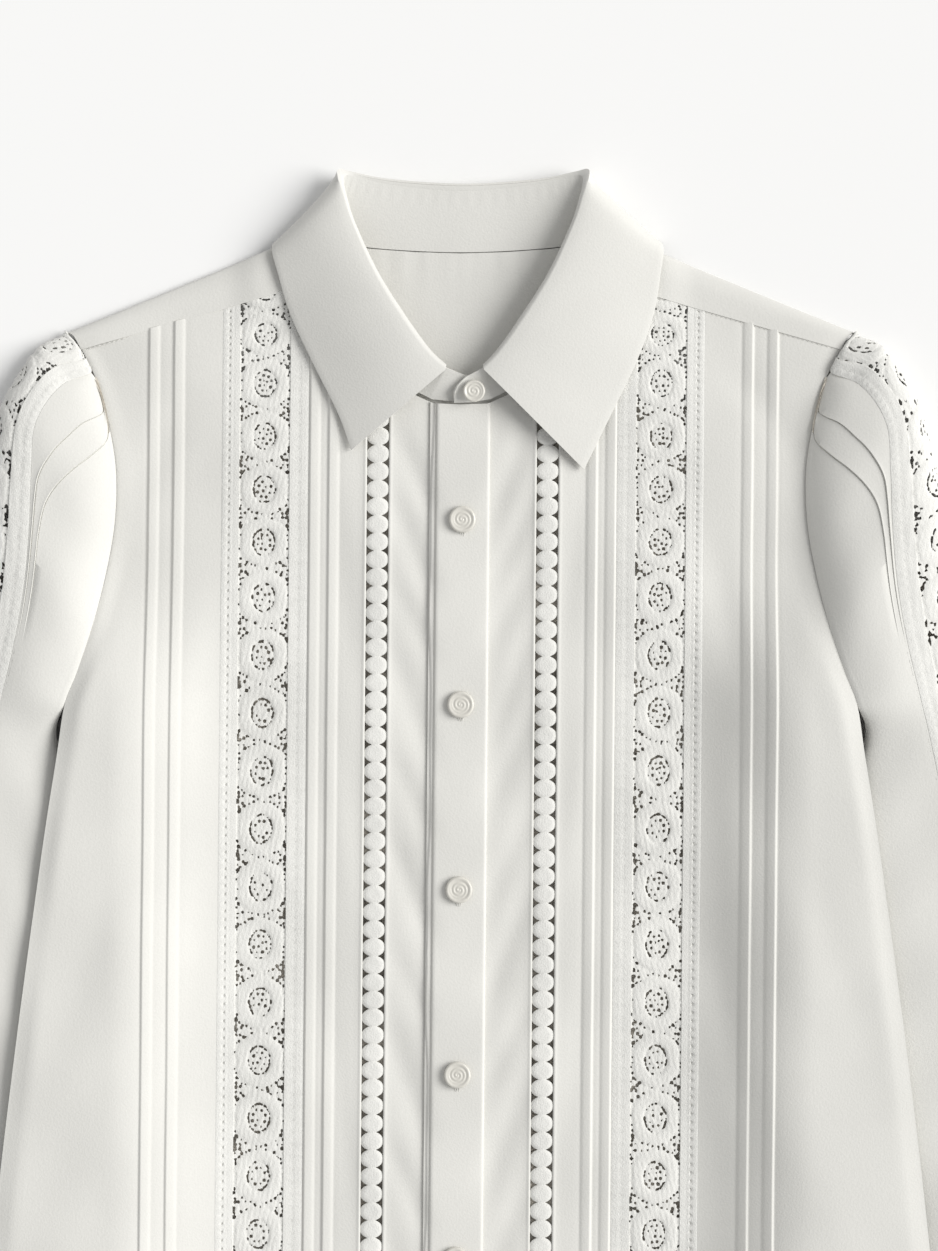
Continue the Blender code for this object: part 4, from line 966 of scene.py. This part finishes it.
def add_collar_stand(cotton):
    """The band between the neck seam and the fold, with one end lapped over the other."""
    fold, _, neck_xy, place = collar_curve(201)
    front = ease(0.40, 0.52, place)
    toward = np.stack([-fold[:, 0], -15.0 - fold[:, 1]], -1)
    toward /= np.linalg.norm(toward, axis=1, keepdims=True)
    top = fold.copy()
    top[:, :2] += toward * (3.8 - 2.6 * front)[:, None]
    top[:, 2] -= 1.0 + 1.4 * front
    neck = np.zeros_like(fold)
    neck[:, :2] = neck_xy
    low = back_under(neck[:, 0], neck[:, 1]) + CLOTH / 2
    high = front_over(neck[:, 0], neck[:, 1]) - CLOTH / 2
    neck[:, 2] = low + (high - low) * front + 0.8 * front
    outward = fold[:, :2] - neck[:, :2]
    outward /= np.linalg.norm(outward, axis=1, keepdims=True)
    neck[:, :2] += outward * (0.3 + 1.4 * front)[:, None]
    rows = [(neck[k], top[k]) for k in range(len(neck))]
    left_tab = []
    for reach, top_y, neck_y in ((8.0, -66.0, -77.0), (1.0, -64.5, -78.8)):
        foot = np.array((reach, neck_y, float(front_over(reach, neck_y)) - CLOTH / 2))
        left_tab.append((foot, np.array((reach, top_y, foot[2] + 4.5))))
    right_tab = []
    for reach, top_y, neck_y in ((5.0, -64.6, -78.8), (2.4, -66.0, -78.9), (0.4, -67.8, -79.0),
                                 (-1.8, -70.2, -79.0), (-3.6, -73.6, -79.0)):
        foot = np.array((reach, neck_y, float(front_over(reach, neck_y)) + 2.2))
        right_tab.append((foot, np.array((reach, top_y, foot[2] + 4.7))))
    share = np.linspace(0.0, 1.0, 15)[:, None]
    middle = np.array([foot + (head - foot) * share for foot, head in left_tab + rows + right_tab])
    bulge = np.sin(share[:, 0] * math.pi)[None, :]
    near_top = np.exp(-((share[:, 0] - 0.86) / 0.08) ** 2)[None, :]
    pucker = 0.16 * np.sin(np.arange(len(middle)) * 1.9)[:, None] * near_top
    normals = grid_normals(middle)
    middle = middle + normals * (0.25 * bulge + pucker)[..., None]
    half = 0.5
    outer = middle + normals * half
    inner = middle - normals * half
    add_shell("cloth_collar_stand", outer, inner, [cotton], ["collar_stand"])


# Sleeves
def sleeve_rows():
    """The sleeve table as plain numbers: fold, lace and end points, heights and shares."""
    rows = []
    for index, row in enumerate(SLEEVE):
        fold_x, fold_y, lace_x, lace_y, end_x, end_y, fold_z, end_z, crown, under = row
        at_armhole = index < ARMHOLE_ROWS
        end_top = float(front_over(end_x - 0.3, end_y)) if at_armhole else end_z
        end_below = float(back_under(end_x, end_y)) if at_armhole else end_z
        rows.append((fold_x, fold_y, fold_z, lace_x, lace_y, end_x, end_y, end_top, end_below, crown, under,
                     1.0 if at_armhole else 0.0))
    return rows


def sleeve_sections(place):
    """Named numbers of the sleeve at places along it, from the shoulder to the cuff."""
    names = ("fold_x", "fold_y", "fold_z", "lace_x", "lace_y", "end_x", "end_y", "end_top", "end_below",
             "crown", "under", "armhole")
    values = spline(sleeve_rows(), place)
    section = {name: values[..., k][..., None] for k, name in enumerate(names)}
    section["armhole"] = np.clip(section["armhole"], 0.0, 1.0)
    on_edge = section["armhole"] > 0.99
    section["end_x"] = np.where(on_edge, body_edge(section["end_y"]), section["end_x"])
    high = front_over(section["end_x"] - 0.3, section["end_y"])
    section["end_top"] = np.where(on_edge, high, section["end_top"])
    last = len(CAP_PLEATS) - 1.0
    pleats = spline(CAP_PLEATS, np.minimum(2.0 * np.asarray(place, float), last))
    section["pleat_1"] = np.clip(pleats[..., 0], 0.03, 0.955)[..., None]
    section["pleat_2"] = np.clip(pleats[..., 1], 0.1, 0.98)[..., None]
    section["pleat_up"] = np.clip(pleats[..., 2], 0.0, 1.0)[..., None]
    return section


def sleeve_top(section, share):
    """Points of the sleeve's upper side, from the outer fold (0) to the seam (1)."""
    first = np.hypot(section["lace_x"] - section["fold_x"], section["lace_y"] - section["fold_y"])
    second = np.hypot(section["end_x"] - section["lace_x"], section["end_y"] - section["lace_y"])
    reach = share * (first + second)
    on_lace = np.clip(reach / first, 0.0, 1.0)
    past = np.clip((reach - first) / second, 0.0, 1.0)
    x = section["fold_x"] + (section["lace_x"] - section["fold_x"]) * on_lace
    x = x + (section["end_x"] - section["lace_x"]) * past
    y = section["fold_y"] + (section["lace_y"] - section["fold_y"]) * on_lace
    y = y + (section["end_y"] - section["lace_y"]) * past
    base = section["fold_z"] + (section["end_top"] - section["fold_z"]) * share
    rise = section["crown"] - (section["fold_z"] + section["end_top"]) / 2
    away = np.abs(2.0 * share - 1.0)
    power = np.where(share > 0.5, 0.55 + 0.2 * section["armhole"], 0.55)
    crown = np.clip(1.0 - away ** 2.6, 0.0, 1.0) ** power
    return np.stack(np.broadcast_arrays(x, y, base + rise * crown), -1)


def sleeve_below(section, share):
    """Points of the sleeve's underside, from the outer fold (0) to the seam (1)."""
    dx = section["end_x"] - section["fold_x"]
    dy = section["end_y"] - section["fold_y"]
    reach = np.hypot(dx, dy)
    near_fold = np.clip(1.0 - share * reach / 9.0, 0.0, 1.0) ** 2
    far_reach = 8.0 + 18.0 * section["armhole"]
    far = np.clip(1.0 - (1.0 - share) * reach / far_reach, 0.0, 1.0) ** 2
    z = section["fold_z"] * near_fold + section["end_below"] * far
    x = section["fold_x"] + dx * share
    y = section["fold_y"] + dy * share
    return np.stack(np.broadcast_arrays(x, y, z), -1)


def lace_share(section):
    first = np.hypot(section["lace_x"] - section["fold_x"], section["lace_y"] - section["fold_y"])
    second = np.hypot(section["end_x"] - section["lace_x"], section["end_y"] - section["lace_y"])
    return first / (first + second)


def under_share(section):
    reach = np.hypot(section["end_x"] - section["fold_x"], section["end_y"] - section["fold_y"])
    return section["under"] / reach


def mirrored(points, side):
    points = points * np.array((side, 1.0, 1.0))
    points[..., 2] = np.maximum(points[..., 2], 0.0)
    return points


def outward_normals(grid, upward):
    """Normals of a grid, turned so that they mostly point up, or down."""
    normals = grid_normals(grid)
    if np.sign(normals[..., 2].mean()) != upward:
        normals = -normals
    return normals


def sleeve_waves(points):
    """Long soft waves in the sleeve's cloth."""
    x, y = points[..., 0], points[..., 1]
    long = 0.7 * np.sin(y * math.tau / 130.0 + x * 0.05)
    return long + 0.45 * np.sin(y * math.tau / 61.0 - x * 0.09 + 1.0)


def add_sleeve_front(word, side, cotton, inside):
    """From the front edge of the lace to the armhole and the underarm seam."""
    place = np.concatenate([np.linspace(0.0, 5.0, 100), np.linspace(5.08, len(SLEEVE) - 1.0, 64)])
    section = sleeve_sections(place)
    start = lace_share(section) + 0.001
    first, second, up = section["pleat_1"], section["pleat_2"], section["pleat_up"]
    rise = CAP_PLEAT_RISE * up
    gates = []
    lifts = []
    for a, b, parts, first_part in ((0.0 * first, first, 6, 0.0), (first, second, 6, 0.09)):
        for k in range(parts):
            part = k / parts
            gates.append(a + (b - a) * max(part, first_part))
            lifts.append(rise * part ** 1.5)
        gates.append(b - 0.012)
        lifts.append(rise)
        gates.append(b - 0.004)
        lifts.append(-CAP_PLEAT_GROOVE * rise)
        gates.append(b + 0.001)
        lifts.append(-CAP_PLEAT_GROOVE * rise)
        gates.append(b + 0.006)
        lifts.append(-0.1 * rise)
    for part in spread_between([0.12, 0.9, 1.0], 0.045):
        gates.append(second + (1.0 - second) * part)
        lifts.append(0.0 * rise)
    gate = np.concatenate(gates, axis=-1)
    lift = np.concatenate(lifts, axis=-1)
    share = start + (1.0 - start) * gate
    grid = sleeve_top(section, share)
    fade = np.sin(np.clip(gate, 0, 1) * math.pi)
    grid[..., 2] += sleeve_waves(grid) * fade
    puff = 0.5 * np.exp(-((gate - 0.975) / 0.025) ** 2) * section["armhole"]
    grid[..., 2] += puff
    normals = outward_normals(grid, 1)
    under = mirrored(grid - normals * SHELL, side)
    grid[..., 2] += lift
    top = mirrored(grid, side)
    # Every underside face, inside the sleeve, gets the painted shade.
    marks = np.ones((top.shape[0] - 1, top.shape[1] - 1), bool)
    nodes = ["sleeve_front_" + word, "sleeve_front_edge_" + word]
    add_shell("cloth_sleeve_front_" + word, top, under, [cotton, inside], nodes,
              inside=marks)


def add_sleeve_back(word, side, cotton, inside):
    """The underside, from the back edge of the lace to the armhole and underarm seam."""
    place = np.linspace(0.0, len(SLEEVE) - 1.0, 150)
    section = sleeve_sections(place)
    start = under_share(section) + 0.003
    gate = np.array(spread_between([0.0, 0.08, 0.92, 0.98, 0.998], 0.05))[None, :]
    share = start + (1.0 - start) * gate
    grid = sleeve_below(section, share)
    normals = outward_normals(grid, -1)
    outer = mirrored(grid, side)
    inner = mirrored(grid - normals * SHELL, side)
    # Every inner face, inside the sleeve, gets the painted shade.
    marks = np.ones((outer.shape[0] - 1, outer.shape[1] - 1), bool)
    nodes = ["sleeve_back_" + word, "sleeve_back_edge_" + word]
    add_shell("cloth_sleeve_back_" + word, outer, inner, [cotton, inside], nodes,
              inside=marks)


def sleeve_lace_place(side):
    """Turns places on the lace band into points and normals round the sleeve's outer fold."""
    stops = [float(k) for k in range(SLEEVE_LONG)]
    stops += [SLEEVE_LONG + k / 2 for k in range(2 * (SLEEVE_LAST_CELL - SLEEVE_LONG) + 1)]
    stops.append(len(SLEEVE) - 1.0)

    def on_surface(u, along):
        place = np.interp(along[:, 0], np.arange(len(stops)), stops)
        section = sleeve_sections(place)
        front = lace_share(section)
        back = under_share(section)
        shares = np.linspace(0.0, 1.0, 15)[None, :]
        over = sleeve_top(section, front * (1 - shares) ** 1.6)
        below = sleeve_below(section, back * np.linspace(0.1, 1.0, 10)[None, :] ** 1.6)
        path = np.concatenate([over, below], axis=1)
        lengths = np.linalg.norm(np.diff(path, axis=1), axis=2)
        reach = np.concatenate([np.zeros((len(path), 1)), np.cumsum(lengths, axis=1)], axis=1)
        reach /= reach[:, -1:]
        share = 0.001 + 0.995 * (u / (2 * SLEEVE_LACE_HALF) + 0.5)
        points = np.empty(u.shape + (3,))
        for row in range(len(path)):
            for axis in range(3):
                points[row, :, axis] = np.interp(share[row], reach[row], path[row, :, axis])
        at_seam = 1.0 - ease(0.0, 0.7, place)[:, None]
        gap = points[..., 0] - body_edge(points[..., 1]) - 0.3
        points[..., 0] -= gap * at_seam
        return points

    def place(u, along):
        level = np.broadcast_to(along.mean(axis=1, keepdims=True), along.shape)
        points = on_surface(u, level)
        steps = np.gradient(points, axis=0) / np.maximum(np.gradient(level, axis=0), 1e-6)[..., None]
        points = points + steps * (along - level)[..., None]
        normals = grid_normals(points)
        middle = normals[:, normals.shape[1] // 3, 2].mean()
        normals = normals if middle > 0 else -normals
        flip = np.array((side, 1.0, 1.0))
        return points * flip - normals * flip * 0.2, normals * flip

    return place, len(stops) - 1.0


def add_sleeve_lace(word, side, lace):
    """The lace insertion round the outer fold, from the shoulder to the cuff."""
    place, cells = sleeve_lace_place(side)
    fine = np.linspace(0.0, cells, SLEEVE_LACE_ROWS)
    column = np.linspace(-COLUMN_HALF, COLUMN_HALF, LACE_COLUMNS)
    add_openwork("lace_sleeve_" + word, place, column, fine, 9 + side, [lace], "sleeve_lace_" + word)
    coarse = np.linspace(0.0, cells, SLEEVE_BORDER_ROWS)
    inner = np.linspace(-SLEEVE_LACE_HALF, -COLUMN_HALF, BORDER_COLUMNS)
    outer = np.linspace(COLUMN_HALF, SLEEVE_LACE_HALF, BORDER_COLUMNS)
    for part, u in (("inner", inner), ("outer", outer)):
        add_border("lace_sleeve_border_%s_%s" % (part, word), place, u, coarse, part == "outer", [lace])


def cuff_axes():
    last = SLEEVE[-1]
    fold = np.array((last[0], last[1]), float)
    end = np.array((last[4], last[5]), float)
    width = np.linalg.norm(end - fold)
    across = (end - fold) / width
    down = np.array((-across[1], across[0]))
    if down[1] > 0:
        down = -down
    return fold, across, down, width


def add_cuff(word, side, cotton):
    """A flattened ring below the sleeve, with its opening facing down the sleeve."""
    fold, across, down, width = cuff_axes()
    share = np.array(spread_between([0.0, 0.02, 0.05, 0.95, 0.98, 1.0], 0.06))[:, None]
    turn = np.arange(CUFF_SIDES)[None, :] * math.tau / CUFF_SIDES
    pinch = CUFF_NARROWING * (0.5 + share)
    reach = width - 2 * pinch
    height = 13.5 - 1.5 * share
    rings = []
    for inset in (0.0, 1.0):
        wide = reach / 2 - inset
        tall = height / 2 - inset
        over = np.copysign(np.abs(np.cos(turn)) ** 0.55, np.cos(turn))
        up = np.copysign(np.abs(np.sin(turn)) ** 0.8, np.sin(turn))
        at = pinch + reach / 2 - wide * over
        x = fold[0] + across[0] * at + down[0] * (0.6 + CUFF_LENGTH * share)
        y = fold[1] + across[1] * at + down[1] * (0.6 + CUFF_LENGTH * share)
        ridge = -0.25 * np.exp(-((share - 0.045) / 0.012) ** 2)
        ridge = ridge - 0.25 * np.exp(-((share - 0.955) / 0.012) ** 2)
        z = height / 2 + tall * up + (ridge * np.clip(up, 0, 1) if inset == 0.0 else 0.0)
        rings.append(mirrored(np.stack(np.broadcast_arrays(x, y, z), -1), side))
    add_shell("cloth_cuff_" + word, rings[0], rings[1], [cotton], ["cuff_" + word], ring=True)


# Buttons and sewing
def add_button(name, x, y, base, radius, pearl):
    """A turned disc whose face carries a fine spiral groove."""
    sides = BUTTON_SIDES
    rings = ((0.72, 0.0), (0.92, 0.12), (1.0, 0.38), (0.99, 0.6), (0.95, 0.8), (0.89, 0.9), (0.82, 0.9),
             (0.75, 0.82), (0.68, 0.76))
    profile = [(r * radius, h * BUTTON_THICK) for r, h in rings]
    inner = [(radius * s, 0.76 * BUTTON_THICK) for s in np.linspace(0.64, 0.04, 16)]
    turn = np.arange(sides) * math.tau / sides
    points = []
    for index, (reach, height) in enumerate(profile + inner):
        lift = 0.0
        if index >= len(profile) - 1:
            lift = 0.13 * np.cos(reach * math.tau / 1.9 + turn)
        level = base + height + lift + 0 * turn
        points.append(np.stack([x + reach * np.cos(turn), y + reach * np.sin(turn), level], -1))
    grid = np.array(points)
    levels = len(grid)
    index = np.arange(levels * sides).reshape(levels, sides)
    wrapped = np.concatenate([index, index[:, :1]], axis=1)
    corners = (wrapped[:-1, :-1], wrapped[:-1, 1:], wrapped[1:, 1:], wrapped[1:, :-1])
    loops = np.stack(corners, -1).reshape(-1, 4)
    flat = np.concatenate([grid.reshape(-1, 3), [(x, y, base)], [(x, y, base + 0.72 * BUTTON_THICK)]])
    bottom = [(levels * sides, wrapped[0, k + 1], wrapped[0, k]) for k in range(sides)]
    cap = [(levels * sides + 1, wrapped[-1, k], wrapped[-1, k + 1]) for k in range(sides)]
    add_mesh("turned_" + name, flat, (loops, bottom, cap), [pearl], [name])


def add_buttons(pearl):
    for k in range(BUTTON_COUNT):
        y = BUTTON_FIRST_Y - BUTTON_PITCH * k
        x = lean(y)
        top = max(float(front_over(x + dx, y + dy)) for dx in (-8, 0, 8) for dy in (-8, 0, 8))
        base = top + PLACKET_RISE + 0.4
        add_button("button_%d" % (k + 1), x, y, base, BUTTON_RADIUS, pearl)
    add_button("button_collar", 6.8, -73.4, float(front_over(0.0, -73.4)) + 7.0, SMALL_BUTTON_RADIUS, pearl)
    fold, across, down, _ = cuff_axes()
    centre = fold + across * 78.0 + down * 32.0
    for word, side in (("left", -1), ("right", 1)):
        add_button("button_cuff_" + word, side * centre[0], centre[1], 13.1, SMALL_BUTTON_RADIUS, pearl)


def add_strands(name, lines, radius, thread):
    """Short rounded lengths of thread along given lines, joined in one piece."""
    around = 6
    points = []
    faces = []
    turn = np.arange(around) * math.tau / around
    for line in lines:
        line = np.asarray(line, float)
        along = np.gradient(line, axis=0)
        along /= np.linalg.norm(along, axis=1, keepdims=True)
        side_way = np.cross(along, (0.0, 0.0, 1.0))
        side_way /= np.maximum(np.linalg.norm(side_way, axis=1, keepdims=True), 1e-6)
        up_way = np.cross(side_way, along)
        thick = radius * np.sqrt(np.clip(np.sin(np.linspace(0.12, math.pi - 0.12, len(line))), 0.0, 1.0))
        low = len(points)
        for centre, a, b, r in zip(line, side_way, up_way, thick):
            points += [centre + r * (a * math.cos(t) + b * math.sin(t)) for t in turn]
        for i in range(len(line) - 1):
            for j in range(around):
                k = (j + 1) % around
                first = low + i * around
                faces.append((first + j, first + k, first + around + k, first + around + j))
        end = low + (len(line) - 1) * around
        faces.append(tuple(low + j for j in reversed(range(around))))
        faces.append(tuple(end + j for j in range(around)))
    add_mesh(name, np.array(points), (faces,), [thread], [])


def stitch_row(points, pitch, length):
    """Single stitches along a line of points."""
    points = np.asarray(points, float)
    reach = np.concatenate([[0.0], np.cumsum(np.linalg.norm(np.diff(points, axis=0), axis=1))])
    stitches = []
    for start in np.arange(0.5, reach[-1] - pitch, pitch):
        places = np.linspace(start, start + length, 4)
        line = np.stack([np.interp(places, reach, points[:, k]) for k in range(3)], -1)
        line[:, 2] += np.array((-0.1, 0.06, 0.06, -0.1))
        stitches.append(line)
    return stitches


def add_stitching(thread):
    """Topstitching beside the yoke seam, and the thread of each placket button."""
    rows = []
    for side in (-1, 1):
        x = np.linspace(100.0, 196.0, 60)
        y = yoke_seam_y(x) - 1.4
        z = front_over(x, y) + creases(side * x, y) + 0.05
        rows += stitch_row(np.stack([side * x, y, z], -1), 2.6, 1.9)
    for k in range(BUTTON_COUNT):
        y = BUTTON_FIRST_Y - BUTTON_PITCH * k
        x = float(lean(y))
        height = float(front_over(x, y)) + PLACKET_RISE
        for shift in (-1.0, 0.0, 1.0):
            path = [(x + shift, y - 5.5, height + 0.5), (x + shift * 1.1, y - 7.3, height + 0.35),
                    (x + shift * 0.8, y - 8.8, height + 0.12)]
            rows.append(path)
    add_strands("stitching", rows, 0.22, thread)


# Stage
def add_floor():
    size = 3.0
    mesh = bpy.data.meshes.new("floor")
    corners = [(size * x, size * y, -0.0003) for x, y in ((-1, -1), (1, -1), (1, 1), (-1, 1))]
    mesh.from_pydata(corners, [], [(0, 1, 2, 3)])
    mesh.materials.append(make_floor_finish())
    floor = bpy.data.objects.new("floor", mesh)
    bpy.context.scene.collection.objects.link(floor)


def add_light():
    world = bpy.data.worlds.new("even_light")
    world.use_nodes = True
    world.node_tree.nodes["Background"].inputs["Color"].default_value = SKY_COLOUR
    world.node_tree.nodes["Background"].inputs["Strength"].default_value = SKY_STRENGTH
    bpy.context.scene.world = world
    lamp = bpy.data.lights.new("key", "SUN")
    lamp.energy = SUN_STRENGTH
    lamp.angle = SUN_SPREAD
    lamp.color = SUN_COLOUR
    key = bpy.data.objects.new("key", lamp)
    key.rotation_euler = SUN_TURN
    bpy.context.scene.collection.objects.link(key)


def add_camera():
    """Straight above, framed on the upper part of the blouse."""
    camera = bpy.data.cameras.new("camera")
    camera.sensor_width = SENSOR
    camera.lens = SENSOR * (CAMERA_PLACE[2] - FRAME_LEVEL) / FRAME_HEIGHT
    item = bpy.data.objects.new("camera", camera)
    item.location = CAMERA_PLACE
    bpy.context.scene.collection.objects.link(item)
    bpy.context.scene.camera = item


def make_scene():
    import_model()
    cotton = make_cotton()
    lace = make_lace_white()
    inside = make_painted_shade_inside()
    add_back(cotton, inside)
    add_yoke(cotton)
    for word, side in (("left", -1), ("right", 1)):
        add_inner_front(word, side, cotton)
        add_middle_front(word, side, cotton)
        add_side_front(word, side, cotton)
        add_disc_trim(word, side, lace)
        add_front_lace(word, side, lace)
        add_sleeve_back(word, side, cotton, inside)
        add_sleeve_front(word, side, cotton, inside)
        add_sleeve_lace(word, side, lace)
        add_cuff(word, side, cotton)
    add_placket(cotton)
    add_collar_leaf(cotton)
    add_collar_stand(cotton)
    add_buttons(make_pearl())
    add_stitching(make_thread())
    add_floor()
    add_light()
    add_camera()
    bpy.context.scene.view_settings.view_transform = "Standard"


make_scene()
